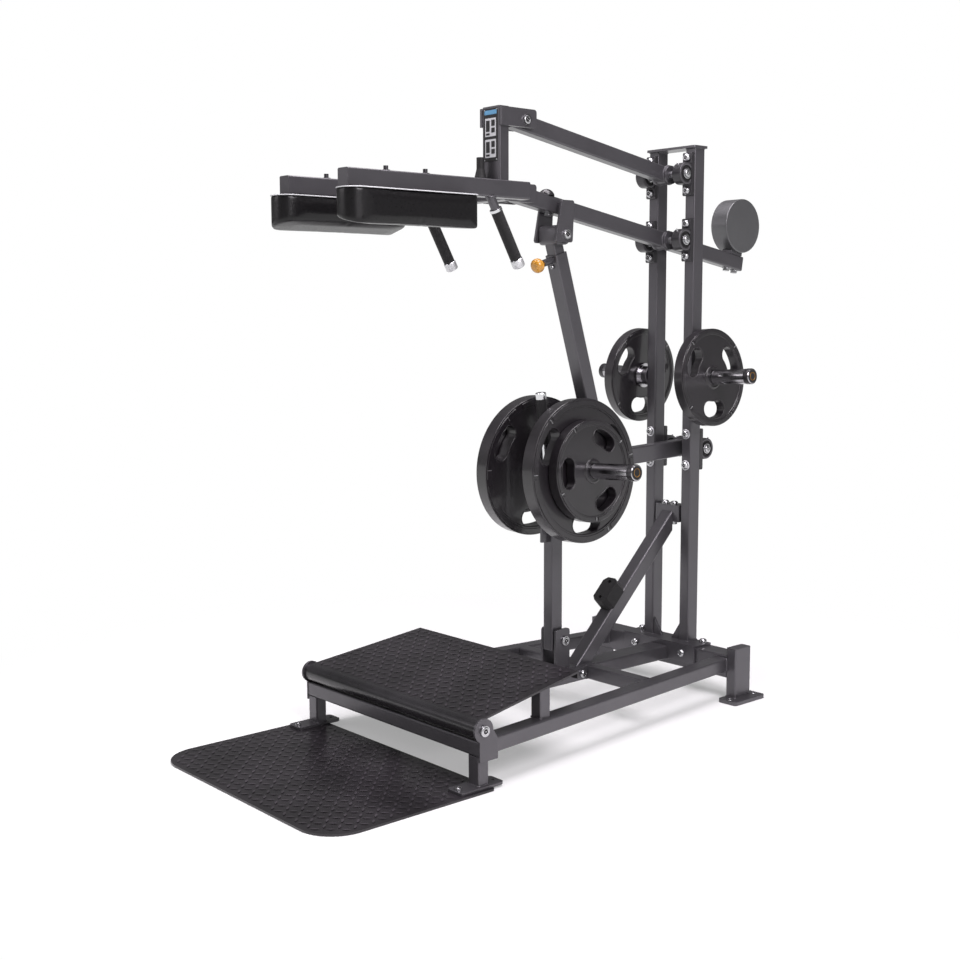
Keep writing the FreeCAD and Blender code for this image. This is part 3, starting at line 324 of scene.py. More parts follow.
def mix_finishes(colours):
    FINISHES.update(
        paint=paint_finish("frame_paint_grey", colours.paint),
        casting=paint_finish("bearing_casting_grey", colours.casting, edge=0.002),
        tread=tread_finish("tread_black", colours.tread),
        # The lozenges are painted paler than the plate: a painted highlight on their raised tops and sides.
        lozenge=tread_finish("tread_worn", shade(colours.tread, 2.5)),
        roller=tread_finish("roller_black", colours.roller),
        iron=iron_finish("plate_satin_black", colours.iron),
        # Pale metal for the bars in the plates' nicks: a painted glint.
        worn=plated_finish("plate_worn_edge", shade(colours.chrome, 0.5), roughness=0.45),
        drum=paint_finish("counterweight_grey", colours.drum, edge=0.002),
        vinyl=vinyl_finish("pad_vinyl_black", colours.vinyl),
        rubber=rubber_finish("grip_rubber_black", colours.rubber),
        amber=amber_finish("knob_amber", colours.amber),
        gold=amber_finish("sleeve_ring_gold", shade(colours.amber, 0.5)),
        chrome=plated_finish("chrome_bright", colours.chrome, roughness=0.12),
        zinc=plated_finish("zinc_plated_steel", shade(colours.chrome, 0.7), roughness=0.3),
        sleeve=plated_finish("sleeve_chrome", colours.sleeve, roughness=0.17),
        washer=plated_finish("washer_matt_zinc", shade(colours.chrome, 1.15), roughness=0.55),
        heads=plated_finish("bolt_head_chrome", shade(colours.chrome, 0.68), roughness=0.22),
        knurl=knurled_finish("knurled_chrome", colours.chrome),
        # The pad edging's pale grey paints the highlight along the pads' top edge.
        edging=plain_finish("pad_edging_pale", colours.edging),
        placard=plain_finish("placard_pale", colours.placard),
        band=plain_finish("placard_blue", colours.band),
    )


NODE_FINISH = {
    "casting": ("upper_bearings", "lower_bearings", "rear_bearings", "carriage_bolts"),
    "tread": ("floor_plate", "platform_deck"),
    "roller": ("platform_roller",),
    "drum": ("counterweight",),
    "iron": ("weight_plate_big_right", "weight_plate_big_left", "weight_plate_small_right",
             "weight_plate_small_left", "storage_plate_right", "storage_plate_left",
             "dome_bumper"),
    "rubber": ("bumper_block", "grips", "prop_grip", "lever_boot"),
    "amber": ("pull_knob",),
    "chrome": ("handles", "prop_rod"),
    "zinc": ("frame_bolts", "arm_bolts", "link_pin", "lower_shaft", "upper_shaft",
             "weight_shaft"),
    "sleeve": ("weight_sleeve_right", "weight_sleeve_left", "storage_horn_right",
               "storage_horn_left"),
    "vinyl": ("shoulder_pad_right", "shoulder_pad_left"),
}


def coat(piece, finish):
    piece.data.materials.clear()
    piece.data.materials.append(FINISHES[finish])


# Shaping helpers


def settle(bm, name, finish, body, smooth=None):
    """Makes the finished bmesh a piece in its place on a body."""
    bmesh.ops.recalc_face_normals(bm, faces=bm.faces)
    mesh = bpy.data.meshes.new(name)
    bm.to_mesh(mesh)
    bm.free()
    piece = bpy.data.objects.new(name, mesh)
    bpy.context.scene.collection.objects.link(piece)
    coat(piece, finish)
    if smooth is not None:
        for face in mesh.polygons:
            face.use_smooth = True
        mesh.set_sharp_from_angle(angle=math.radians(smooth))
    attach(piece, body)
    return piece


def turned_ring(bm, profile, centre, axis, steps=48, angle=2 * math.pi):
    """Spins (along, radius) points round an axis as a closed shell, solid where they end on it."""
    if profile[-1][1] == 0:
        profile = [(profile[0][0], 0), *profile]
    else:
        profile = [*profile, profile[0]]
    along = axis.normalized()
    side = along.orthogonal().normalized()
    points = [bm.verts.new(centre + along * a + side * r) for a, r in profile]
    edges = [bm.edges.new(ends) for ends in zip(points, points[1:])]
    full = angle == 2 * math.pi
    bmesh.ops.spin(bm, geom=points + edges, cent=centre, axis=along, angle=angle, steps=steps,
                   use_merge=full, use_duplicate=False)
    bmesh.ops.remove_doubles(bm, verts=bm.verts, dist=1e-6)
    if not full:
        bmesh.ops.holes_fill(bm, edges=[e for e in bm.edges if e.is_boundary])


RIPPLE_PITCH = 0.0032


def bead_along(bm, path, up, radius, ripple=0.0, sides=6):
    """Sweeps a round bead along a closed path that lies square to up."""
    rings, run = [], 0.0
    for i, point in enumerate(path):
        before, after = path[i - 1], path[(i + 1) % len(path)]
        across = (after - before).cross(up).normalized()
        run += (point - before).length
        reach = radius * (1 + ripple * math.sin(2 * math.pi * run / RIPPLE_PITCH))
        turns = (2 * math.pi * k / sides for k in range(sides))
        rings.append([bm.verts.new(point + across * (reach * math.cos(a)) + up * (reach * math.sin(a)))
                      for a in turns])
    for first, second in zip(rings, rings[1:] + rings[:1]):
        for k in range(sides):
            j = (k + 1) % sides
            bm.faces.new((first[k], first[j], second[j], second[k]))


def quarter(centre, first, second, radius, start, steps):
    """The points of a quarter turn from start, in degrees counted from first towards second."""
    turns = [math.radians(start + 90 * k / steps) for k in range(steps + 1)]
    return [centre + first * (radius * math.cos(a)) + second * (radius * math.sin(a)) for a in turns]


def prism(bm, outline, shift):
    """Makes a closed prism from an outline and the way to its far end."""
    base = bm.faces.new([bm.verts.new(point) for point in outline])
    grown = bmesh.ops.extrude_face_region(bm, geom=[base])["geom"]
    bmesh.ops.translate(bm, vec=shift, verts=[g for g in grown if isinstance(g, bmesh.types.BMVert)])


def slab(bm, centre, size, round_off):
    """A box with the four edges along its thinnest side rounded."""
    made = bmesh.ops.create_cube(bm, size=1.0)["verts"]
    bmesh.ops.scale(bm, vec=size, verts=made)
    bmesh.ops.translate(bm, vec=centre, verts=made)
    thin = min(range(3), key=lambda k: size[k])
    edges = {e for v in made for e in v.link_edges
             if abs((e.verts[0].co - e.verts[1].co).normalized()[thin]) > 0.9}
    bmesh.ops.bevel(bm, geom=list(edges), offset=round_off, segments=4, profile=0.5,
                    affect="EDGES", material=-1)


def mirrored(bm):
    """Adds the mirror image in the plane X = 0."""
    twin = bmesh.ops.duplicate(bm, geom=bm.verts[:] + bm.edges[:] + bm.faces[:])["geom"]
    bmesh.ops.scale(bm, vec=(-1, 1, 1), verts=[g for g in twin if isinstance(g, bmesh.types.BMVert)])


def tilted(centre, side):
    """The frame of a sleeve that rises outwards, for the right or the left side."""
    return Matrix.Translation(centre) @ Matrix.Rotation(-SLEEVE_RISE * side, 4, "Y")


# Bolts


# Radius and rise of each kind of head, in millimetres
BOLT, PIVOT, FOOT, STOP = (13.4, 11.4), (15.4, 8.2), (9.3, 6.8), (6.5, 4.4)
FORWARD, REARWARD, OUTWARD, UPWARD = (0, -1, 0), (0, 1, 0), (1, 0, 0), (0, 0, 1)
HOUSING_BOLTS = (53, -53)

# Place on the right side in millimetres, direction and kind, for the heads on each body
HEADS = {
    "frame": (
        *((UPRIGHT_X, -15, z + step, FORWARD, BOLT)
          for _, z in (UPPER_BEARING, LOWER_BEARING) for step in HOUSING_BOLTS),
        *((UPRIGHT_X, y, WEIGHT_BEARING[1] + step, way, BOLT)
          for y, way in ((0, FORWARD), (66, REARWARD)) for step in HOUSING_BOLTS),
        (106, -37, 126, FORWARD, BOLT),
        (138, 36, 157, UPWARD, BOLT),
        (40, -452, 115, OUTWARD, BOLT),
        (20, 14, 624, UPWARD, BOLT),
        (34, *PROP_PIN, OUTWARD, PIVOT),
        (412, *ROLLER_PIN, OUTWARD, PIVOT),
        (384.25, -1272, 14, UPWARD, FOOT),
    ),
    "lower_arm": ((50, *LINK_PIN, OUTWARD, PIVOT),),
    "carriage": ((48.4, *MAST_PIN, OUTWARD, PIVOT),),
    "link": ((0, -555.5, 1420.5, (0, -0.955, -0.2965), STOP),),
}
SOCKET_SHARE = 0.46
WASHER = [(0, 0.0132), (0.0027, 0.0132), (0.0034, 0.0138), (0.0034, 0.0158), (0.0024, 0.0168),
          (0, 0.0168)]

# Places of the deck's screws as (x, y) in millimetres, their radius and rise in metres
DECK_SCREWS = ((346, -819), (346, -857), (346, -904), (308, -817), (176, -815))
DECK_SCREW, SCREW_SINK = (0.0046, 0.0013), 0.0003


def domed_head(bright, dark, centre, axis, radius, rise):
    """A domed head with a six-sided socket and a bright pip in it. The socket's black floor is painted
    shade for its depth, and the pip a painted glint.
    """
    socket = radius * SOCKET_SHARE
    turned_ring(bright, [(0, radius), (rise * 0.42, radius), (rise * 0.8, radius * 0.88),
                         (rise, radius * 0.66), (rise, socket * 1.06), (rise - 0.0006, socket)],
                centre, axis, steps=28)
    # The bright pip in the socket's middle is a painted glint.
    turned_ring(bright, [(rise - 0.0007, socket * 0.34), (rise, socket * 0.26), (rise, 0)],
                centre, axis, steps=12)
    # A black disc on the socket's shallow floor: painted shade where a deep socket would be dark.
    turned_ring(dark, [(rise - 0.0008, socket * 1.02), (rise - 0.0006, 0)], centre, axis, steps=6)


def platform_place():
    """The plane of the foot platform, from the crown of its roller towards the rear."""
    low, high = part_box("platform_roller")
    crown = Vector((0, -math.sin(DECK_RISE), math.cos(DECK_RISE))) * (high.z - low.z) / 2
    start = Vector((0, (low.y + high.y) / 2, (low.z + high.z) / 2)) + crown
    return Matrix.Translation(start) @ Matrix.Rotation(DECK_RISE, 4, "X")


def deck_screws(dark):
    """Sinks the small dark screws in the foot platform's deck."""
    deck = platform_place()
    for x, y in DECK_SCREWS:
        run = (at(x, y, 0).y - deck.translation.y) / math.cos(DECK_RISE)
        for side, _ in SIDES:
            centre = deck @ Vector((side * x / 1000, run, -SCREW_SINK))
            domed_head(dark, dark, centre, deck.to_3x3() @ Z, *DECK_SCREW)


class SQUAT_OT_bolts(bpy.types.Operator):
    """Fits a domed head over each bolt and pin, and washers where the uprights are bolted through"""

    bl_idname = "squat.bolts"
    bl_label = "Bolt heads"

    def execute(self, context):
        for body, heads in HEADS.items():
            bright, dark = bmesh.new(), bmesh.new()
            for x, y, z, way, (radius, rise) in heads:
                for side in (1, -1) if x else (1,):
                    axis = Vector((side * way[0], way[1], way[2]))
                    domed_head(bright, dark, at(side * x, y, z), axis, radius / 1000, rise / 1000)
            if body == "frame":
                deck_screws(dark)
            settle(bright, "bolt_domes_" + body, "heads", body, smooth=35)
            # The sockets' black floors are painted shade; the deck's screws in this piece are black of
            # their own.
            settle(dark, "bolt_sockets_" + body, "rubber", body)
        washers = bmesh.new()
        for step in HOUSING_BOLTS:
            turned_ring(washers, WASHER, at(UPRIGHT_X, 0, WEIGHT_BEARING[1] + step), -Y, steps=36)
        mirrored(washers)
        settle(washers, "bolt_washers", "washer", "frame", smooth=35)
        return {"FINISHED"}


# Bearings


HOUSING_HALF, SHAFT_END, SHAFT_HEAD = 16, 101.7, (0.0124, 0.0042)
NIPPLE_LEAN, NIPPLE_REACH = 1.2, 0.0352
SEAL = [(-0.003, 0.0268), (-0.0016, 0.0262), (-0.0013, 0.022), (-0.0019, 0.0214),
        (-0.0013, 0.0208), (-0.0015, 0.0178)]
RIM = [(0.0, 0.0349), (0.0014, 0.0342), (0.0019, 0.0326), (0.0019, 0.0288), (0.001, 0.0274),
       (0.0, 0.027)]
COLLAR = [(0.0026, 0.0177), (0.0041, 0.0172), (0.0044, 0.0162), (0.0044, 0.0138), (0.0032, 0.0127)]
NIPPLE = [(0.0, 0.0036), (0.004, 0.0036), (0.0045, 0.0022), (0.0075, 0.002), (0.0083, 0.0028),
          (0.0096, 0.0026), (0.0102, 0.0012), (0.0102, 0)]


class SQUAT_OT_bearings(bpy.types.Operator):
    """Fits seals, rims, collars, grease nipples and shaft ends to the bearings"""

    bl_idname = "squat.bearings"
    bl_label = "Bearings"

    def execute(self, context):
        seals, rims, collars, nipples = (bmesh.new() for _ in range(4))
        for (y, z), away, body in ((UPPER_BEARING, -Y, "upper_arm"), (LOWER_BEARING, -Y, "lower_arm"),
                                   (WEIGHT_BEARING, Y, "weight_arm")):
            for side in (-1, 1):
                face = at(UPRIGHT_X + side * HOUSING_HALF, y, z)
                turned_ring(seals, SEAL, face, X * side, steps=40)
                turned_ring(rims, RIM, face, X * side, steps=40)
                turned_ring(collars, COLLAR, face, X * side, steps=36)
            lean = (away + Z * NIPPLE_LEAN).normalized()
            turned_ring(nipples, NIPPLE, at(UPRIGHT_X, y, z) + lean * NIPPLE_REACH, lean, steps=14)
            ends = bmesh.new()
            domed_head(ends, ends, at(SHAFT_END, y, z), X, *SHAFT_HEAD)
            mirrored(ends)
            settle(ends, "shaft_end_faces_" + body, "heads", body, smooth=35)
        for bm, name, finish, slot in ((seals, "bearing_seals", "rubber", "rubber"),
                                       (rims, "bearing_rims", "paint", "casting"),
                                       (collars, "bearing_collars", "heads", "steel"),
                                       (nipples, "grease_nipples", "zinc", "steel")):
            mirrored(bm)
            settle(bm, name, finish, "frame", smooth=35)
        return {"FINISHED"}


# Plates and sleeves


# Sizes in millimetres, angles in degrees, and the faces that carry a relief: -1 inner, 1 outer.
# The slot shares are the slots' middle radius and width, and each arc of the rim ends at a nick.
Plate = namedtuple("Plate", "name body centre middle inner thick radius slots slot_shares slot_arc"
                            " arcs faces")
PLATES = (
    Plate("weight_plate_big", "big_plate", SLEEVE, SLEEVE_X, inner=82.6, thick=46, radius=225,
          slots=(-90, 30, 150), slot_shares=(0.755, 0.23), slot_arc=22.5,
          arcs=((-60, 7), (13, 128), (134, 176), (183, 292)), faces=(-1, 1)),
    Plate("weight_plate_small", "small_plate", SLEEVE, SLEEVE_X, inner=128.9, thick=36.5, radius=159,
          slots=(180, 60, -60), slot_shares=(0.68, 0.31), slot_arc=25,
          arcs=((37, 118), (124, 200), (207, 268), (275, 391)), faces=(1,)),
    Plate("storage_plate", "storage_plate", HORN, HORN_X, inner=138.6, thick=34.6, radius=161.7,
          slots=(-90, 30, 150), slot_shares=(0.66, 0.33), slot_arc=26,
          arcs=((-52, 38), (44, 128), (135, 215), (222, 302)), faces=(-1, 1)),
)
WEB_SHARE, LIP_GAP = 0.07, 0.0026
RIM_SHARES = (0.905, 0.91, 0.972, 0.977)
HUB_SHARES = (0.19, 0.2, 0.222, 0.234)
# Bars of pale metal lie in the rim's nicks: a painted glint where the rim breaks
NICK_SHARE, NICK_LENGTH_SHARE, NICK_WIDTH = 0.938, 0.066, 0.0026


def face_x(plate, face):
    """How far a face of a plate stands out from the middle of its sleeve."""
    return (plate.inner + (plate.thick if face > 0 else 0) - plate.middle) / 1000


def slot_path(radius, reach, half, turn):
    """The outline of a curved slot in the plane of its plate, reach to each side of its middle."""
    first, last = turn - half, turn + half

    def arc(y, z, radius, start, stop):
        turns = [start + (stop - start) * i / 12 for i in range(13)]
        return [Vector((0, y + radius * math.cos(a), z + radius * math.sin(a))) for a in turns]

    def end(turn, start):
        return arc(radius * math.cos(turn), radius * math.sin(turn), reach, start, start + math.pi)[1:-1]

    return [*arc(0, 0, radius + reach, first, last), *end(last, last),
            *arc(0, 0, radius - reach, last, first), *end(first, first + math.pi)]


def slot_lips(bm, plate, face, lip):
    """Raises a lip round each grip slot, on the sunk web of the plate."""
    radius, width = (plate.radius / 1000 * share for share in plate.slot_shares)
    web = X * (face_x(plate, face) - face * plate.thick / 1000 * WEB_SHARE)
    for turn in plate.slots:
        path = slot_path(radius, width / 2 + LIP_GAP, math.radians(plate.slot_arc / 2),
                         math.radians(turn))
        bead_along(bm, [web + point for point in path], X * face, lip, sides=8)


def ring_profile(plate, shares, rise):
    """The profile of a raised ring whose foot and crown radii are shares of the plate's."""
    return [(height, plate.radius / 1000 * share) for height, share in zip((0, rise, rise, 0), shares)]


def rim_arcs(bm, plate, face, rise):
    """Raises the arcs of the rim, each from one nick to the next."""
    from_y = X.orthogonal()
    swing = math.atan2(from_y.z, from_y.y)
    for start, stop in plate.arcs:
        strip = bmesh.new()
        turned_ring(strip, ring_profile(plate, RIM_SHARES, rise), Vector(), X * face,
                    steps=int((stop - start) / 3), angle=math.radians(stop - start))
        turn = math.radians(start if face > 0 else stop) - swing
        place = Matrix.Translation(X * face_x(plate, face)) @ Matrix.Rotation(turn, 4, "X")
        bmesh.ops.transform(strip, matrix=place, verts=strip.verts)
        mesh = bpy.data.meshes.new("arc")
        strip.to_mesh(mesh)
        strip.free()
        bm.from_mesh(mesh)
        bpy.data.meshes.remove(mesh)


def rim_nicks(bm, plate, face, rise):
    """Lays a bar of pale metal across the rim in each gap between two arcs, a painted glint where the rim
    breaks.
    """
    radius = plate.radius / 1000
    for (_, stop), (start, _) in zip(plate.arcs, plate.arcs[1:] + plate.arcs[:1]):
        middle = math.radians(stop + (start - stop) % 360 / 2)
        place = (Matrix.Rotation(middle - math.pi / 2, 4, "X")
                 @ Matrix.Translation((face_x(plate, face) + face * rise / 2, 0, radius * NICK_SHARE))
                 @ Matrix.Diagonal((rise * 1.5, NICK_WIDTH, radius * NICK_LENGTH_SHARE, 1)))
        bmesh.ops.create_cube(bm, size=1.0, matrix=place)


class SQUAT_OT_plates(bpy.types.Operator):
    """Raises the lips, hub rings and rim arcs of the weight plates, and lays bars of pale metal in the
    nicks between as painted glints
    """

    bl_idname = "squat.plates"
    bl_label = "Plate relief"

    def execute(self, context):
        sizes = context.scene.squat_sizes
        rise = sizes.rim_rise
        for plate in PLATES:
            for side, word in SIDES:
                relief, nicks = bmesh.new(), bmesh.new()
                for face in plate.faces:
                    slot_lips(relief, plate, face, sizes.lip)
                    rim_arcs(relief, plate, face, rise)
                    rim_nicks(nicks, plate, face, rise)
                    turned_ring(relief, ring_profile(plate, HUB_SHARES, rise),
                                X * face_x(plate, face), X * face)
                place = tilted(at(side * plate.middle, *plate.centre), side)
                # The nicks' bars take the pale metal that paints their glints.
                for bm, kind, finish in ((relief, "_relief_", "iron"), (nicks, "_nicks_", "worn")):
                    bmesh.ops.scale(bm, vec=(side, 1, 1), verts=bm.verts)
                    bmesh.ops.transform(bm, matrix=place, verts=bm.verts)
                    settle(bm, plate.name + kind + word, finish, plate.body + "_" + word,
                           smooth=50)
        return {"FINISHED"}


SLEEVE_END, HORN_END = 344, 333
PLUG = [(-0.0002, 0.0214), (0.0012, 0.0206), (0.0012, 0.0168), (0.0004, 0.016), (0.0004, 0)]
GOLD_RING = [(0.0003, 0.0134), (0.0012, 0.013), (0.0012, 0.0119), (0.0003, 0.0115)]
END_BAND = [(-0.0205, 0.0249), (-0.0205, 0.0256), (-0.0185, 0.0258), (-0.0038, 0.0258),
            (-0.0018, 0.0252), (-0.0018, 0.0236)]


class SQUAT_OT_sleeves(bpy.types.Operator):
    """Plugs the sleeve ends with a dark cap and a gold ring, inside a dark band"""

    bl_idname = "squat.sleeves"
    bl_label = "Sleeve ends"

    def execute(self, context):
        for name, body, place, middle, end in (("weight", "weight_arm", SLEEVE, SLEEVE_X, SLEEVE_END),
                                               ("storage", "frame", HORN, HORN_X, HORN_END)):
            plugs, rings, bands = (bmesh.new() for _ in range(3))
            for side, _ in SIDES:
                sleeve = tilted(at(side * middle, *place), side)
                centre = sleeve @ Vector((side * (end - middle) / 1000, 0, 0))
                axis = (sleeve.to_3x3() @ X) * side
                turned_ring(plugs, PLUG, centre, axis, steps=36)
                turned_ring(rings, GOLD_RING, centre, axis, steps=36)
                turned_ring(bands, END_BAND, centre, axis, steps=40)
            settle(plugs, name + "_sleeve_plugs", "rubber", body, smooth=35)
            settle(rings, name + "_sleeve_rings", "gold", body, smooth=35)
            settle(bands, name + "_sleeve_bands", "roller", body, smooth=35)
        return {"FINISHED"}


# Handles, link and feet


STEM = [(-0.004, 0.0126), (-0.004, 0.0131), (0.036, 0.0131), (0.036, 0.0126)]
TIP = [(0.1965, 0.0178), (0.1975, 0.0185), (0.2185, 0.0185), (0.2205, 0.0172)]
RIB = [(0, 0.01645), (0.0007, 0.0171), (0.0016, 0.0171), (0.0023, 0.01645)]
RIBS, FIRST_RIB, RIB_PITCH = 46, 0.0465, 0.0032


class SQUAT_OT_handles(bpy.types.Operator):
    """Paints the handle stems, ribs the grips and knurls the tips"""

    bl_idname = "squat.handles"
    bl_label = "Handles"

    def execute(self, context):
        along = Vector((0, math.sin(HANDLE_LEAN), -math.cos(HANDLE_LEAN)))
        stems, tips, ribs = (bmesh.new() for _ in range(3))
        turned_ring(stems, STEM, HANDLE_TOP, along, steps=32)
        turned_ring(tips, TIP, HANDLE_TOP, along, steps=40)
        for i in range(RIBS):
            turned_ring(ribs, RIB, HANDLE_TOP + along * (FIRST_RIB + i * RIB_PITCH), along, steps=28)
        for bm, name, finish, slot in ((stems, "handle_stems", "paint", "frame_paint"),
                                       (tips, "handle_tips", "knurl", "chrome"),
                                       (ribs, "grip_ribs", "rubber", "rubber")):
            mirrored(bm)
            settle(bm, name, finish, "carriage", smooth=35)
        return {"FINISHED"}


# Half width in millimetres, then each corner as (y, z) from the link's pin and its radius
LINK_HEAD_HALF, LINK_HEAD_ROUND = 38.5, 0.0018
LINK_HEAD_CORNERS = ((0.0, 0.0, 0.029), (-0.018, 0.014, 0.015), (-0.021, -0.019, 0.012),
                     (0.004, -0.006, 0.025))


class SQUAT_OT_link_head(bpy.types.Operator):
    """Wraps the upper end of the link in a block with a flat front"""

    bl_idname = "squat.link_head"
    bl_label = "Link head"

    def execute(self, context):
        start, outline = at(-LINK_HEAD_HALF, *LINK_PIN), []
        for i, (y, z, radius) in enumerate(LINK_HEAD_CORNERS):
            outline += quarter(start + Y * y + Z * z, Y, Z, radius, 90 * i, 8)
        bm = bmesh.new()
        prism(bm, outline, X * LINK_HEAD_HALF * 2 / 1000)
        edges = {e for face in bm.faces if len(face.verts) == len(outline) for e in face.edges}
        bmesh.ops.bevel(bm, geom=list(edges), offset=LINK_HEAD_ROUND, segments=3, profile=0.5,
                        affect="EDGES", material=-1)
        settle(bm, "link_head", "paint", "link", smooth=40)
        return {"FINISHED"}


FOOT_HOLES = ((326.75, -51, 12), (326.75, 71, 12))
EYELET = [(0.0, 0.0098), (0.0011, 0.0092), (0.0011, 0.0074), (-0.004, 0.0068)]


class SQUAT_OT_feet(bpy.types.Operator):
    """Sets an eyelet in each hole of the rear feet"""

    bl_idname = "squat.feet"
    bl_label = "Foot eyelets"

    def execute(self, context):
        bm = bmesh.new()
        for hole in FOOT_HOLES:
            turned_ring(bm, EYELET, at(*hole), Z, steps=24)
        mirrored(bm)
        settle(bm, "foot_eyelets", "zinc", "frame", smooth=35)
        return {"FINISHED"}


# Placard


# Middles and sizes as (x, z, width, height) in metres, and the fields counted from their panel
PLACARD, PLACARD_BAND = (0, 1.8005, 0.061, 0.153), (0, 1.8655, 0.053, 0.0125)
PLACARD_PANELS = ((0, 1.8225, 0.047, 0.0525), (0, 1.7615, 0.047, 0.0525))
PANEL_FIELDS = ((-0.0115, 0.004, 0.016, 0.032), (0.0115, 0.012, 0.015, 0.018),
                (0.0115, -0.009, 0.015, 0.014), (-0.0115, -0.0195, 0.016, 0.006))
PLACARD_FILM = 0.0008
RIVET_X, RIVET_HEIGHTS = 0.0262, (1.7283, 1.8727)
RIVET = [(0.0006, 0.0021), (0.0017, 0.0017), (0.0021, 0.0004), (0.0021, 0)]


class SQUAT_OT_placard(bpy.types.Operator):
    """Rivets a blank placard to the front of the carriage post"""

    bl_idname = "squat.placard"
    bl_label = "Blank placard"

    def execute(self, context):
        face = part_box("carriage_mast")[0].y
        plate, panels, band, rivets = (bmesh.new() for _ in range(4))

        def film(bm, x, z, width, height, lift, round_off=0.002):
            slab(bm, Vector((x, face - lift, z)), Vector((width, PLACARD_FILM, height)), round_off)

        film(plate, *PLACARD, 0.0004)
        film(band, *PLACARD_BAND, 0.0009, 0.001)
        for x, z, *size in PLACARD_PANELS:
            film(panels, x, z, *size, 0.0009)
            for dx, dz, *size in PANEL_FIELDS:
                film(plate, x + dx, z + dz, *size, 0.0014, 0.0012)
        for x in (-RIVET_X, RIVET_X):
            for z in RIVET_HEIGHTS:
                turned_ring(rivets, RIVET, Vector((x, face, z)), -Y, steps=12)
        for bm, name, finish in ((plate, "placard_plate", "rubber"), (panels, "placard_panels", "placard"),
                                 (band, "placard_band", "band"), (rivets, "placard_rivets", "zinc")):
            settle(bm, name, finish, "carriage", smooth=35)
        return {"FINISHED"}


# Welds


WELD_STEP, WELD_CORNER, WELD_RIPPLE = 0.0011, 0.004, 0.16
SLEEVE_DROP = 4.8


def square_path(centre, first, second, reach_a, reach_b):
    """A closed path round a square tube, with rounded corners."""
    a, b = reach_a - WELD_CORNER, reach_b - WELD_CORNER
    corners = [quarter(centre + first * (sa * a) + second * (sb * b), first, second, WELD_CORNER, 90 * i, 4)
               for i, (sa, sb) in enumerate(((1, 1), (-1, 1), (-1, -1), (1, -1)))]
    points = []
    for corner, following in zip(corners, corners[1:] + corners[:1]):
        start, stop = corner[-1], following[0]
        steps = int((stop - start).length / WELD_STEP)
        points += corner + [start.lerp(stop, k / steps) for k in range(1, steps)]
    return points


def round_path(centre, first, second, reach_a, reach_b):
    """A closed path round a round tube, or round one that is cut at a slant."""
    count = int(2 * math.pi * max(reach_a, reach_b) / WELD_STEP)
    turns = [2 * math.pi * i / count for i in range(count)]
    return [centre + first * (reach_a * math.cos(a)) + second * (reach_b * math.sin(a)) for a in turns]


def paired_welds():
    """For each body, the paths of the beads on its right side with the way that each faces."""
    hubs = {body: [(round_path(at(ARM_HALF, *shaft), Y, Z, reach, reach), X)]
            for body, shaft, reach in (("upper_arm", UPPER_BEARING, 0.03),
                                       ("lower_arm", LOWER_BEARING, 0.03),
                                       ("weight_arm", WEIGHT_BEARING, 0.034))}
    sleeve_foot = at(ARM_HALF, SLEEVE[0], SLEEVE[1] - SLEEVE_DROP)
    hubs["weight_arm"].append((round_path(sleeve_foot, Y, Z, 0.032, 0.032), X))
    return {
        "frame": [
            # rear post and front leg on their feet
            (square_path(at(310.5, 11, 12), X, Y, 0.0195, 0.04), Z),
            (square_path(at(383, -1199.5, 14), X, Y, 0.022, 0.0185), Z),
            # upright on its saddle and under its cap
            (square_path(at(UPRIGHT_X, 25.5, 157), X, Y, 0.02, 0.0255), Z),
            (square_path(at(UPRIGHT_X, 25.5, 1817), X, Y, 0.02, 0.0255), -Z),
            # side rail on the rear crossbar, mid tube on the spine, roller post on its rail
            (square_path(at(266.8, -29, 117), X, Z, 0.0262, 0.022), -Y),
            (square_path(at(40, -412.5, 117), Y, Z, 0.0225, 0.022), X),
            (square_path(at(348, -934, 139), X, Y, 0.02, 0.02), Z),
            # storage horn on its upright
            (round_path(at(UPRIGHT_X + UPRIGHT_HALF, *HORN), Y, Z, 0.032, 0.032), X),
        ],
        "carriage": [
            # yoke on a shoulder tube, handle under it
            (square_path(at(115, -834, 1628.5), Y, Z, 0.025, 0.025), -X),
            (round_path(HANDLE_TOP, X, Y, 0.0127, 0.0146), -Z),
        ],
        **hubs,
    }


class SQUAT_OT_welds(bpy.types.Operator):
    """Lays rippled weld beads at the joints of the tubes"""

    bl_idname = "squat.welds"
    bl_label = "Weld beads"

    def execute(self, context):
        bead = context.scene.squat_sizes.bead
        brace_foot = square_path(at(0, -429, 138), X, Y, 0.025, 0.0355)
        for body, welds in paired_welds().items():
            bm = bmesh.new()
            for path, up in welds:
                bead_along(bm, path, up, bead, ripple=WELD_RIPPLE)
            mirrored(bm)
            if body == "frame":
                bead_along(bm, brace_foot, Z, bead, ripple=WELD_RIPPLE)
            settle(bm, "weld_beads_" + body, "paint", body, smooth=60)
        return {"FINISHED"}


# Treads


# Inset and rise of each step of a lozenge, as shares of its width and height
LOZENGE_SHARES = ((0.08, 0.55), (0.1, 0.33), (0.12, 0.12))
LOZENGE_PINCH_SHARE, LOZENGE_TURN = 0.45, 45
TREAD_EDGE, FLOOR_CORNER, FOOT_INNER = 0.012, 0.11, 0.3535
DECK_HALF, DECK_TAPER = 0.398, 0.033


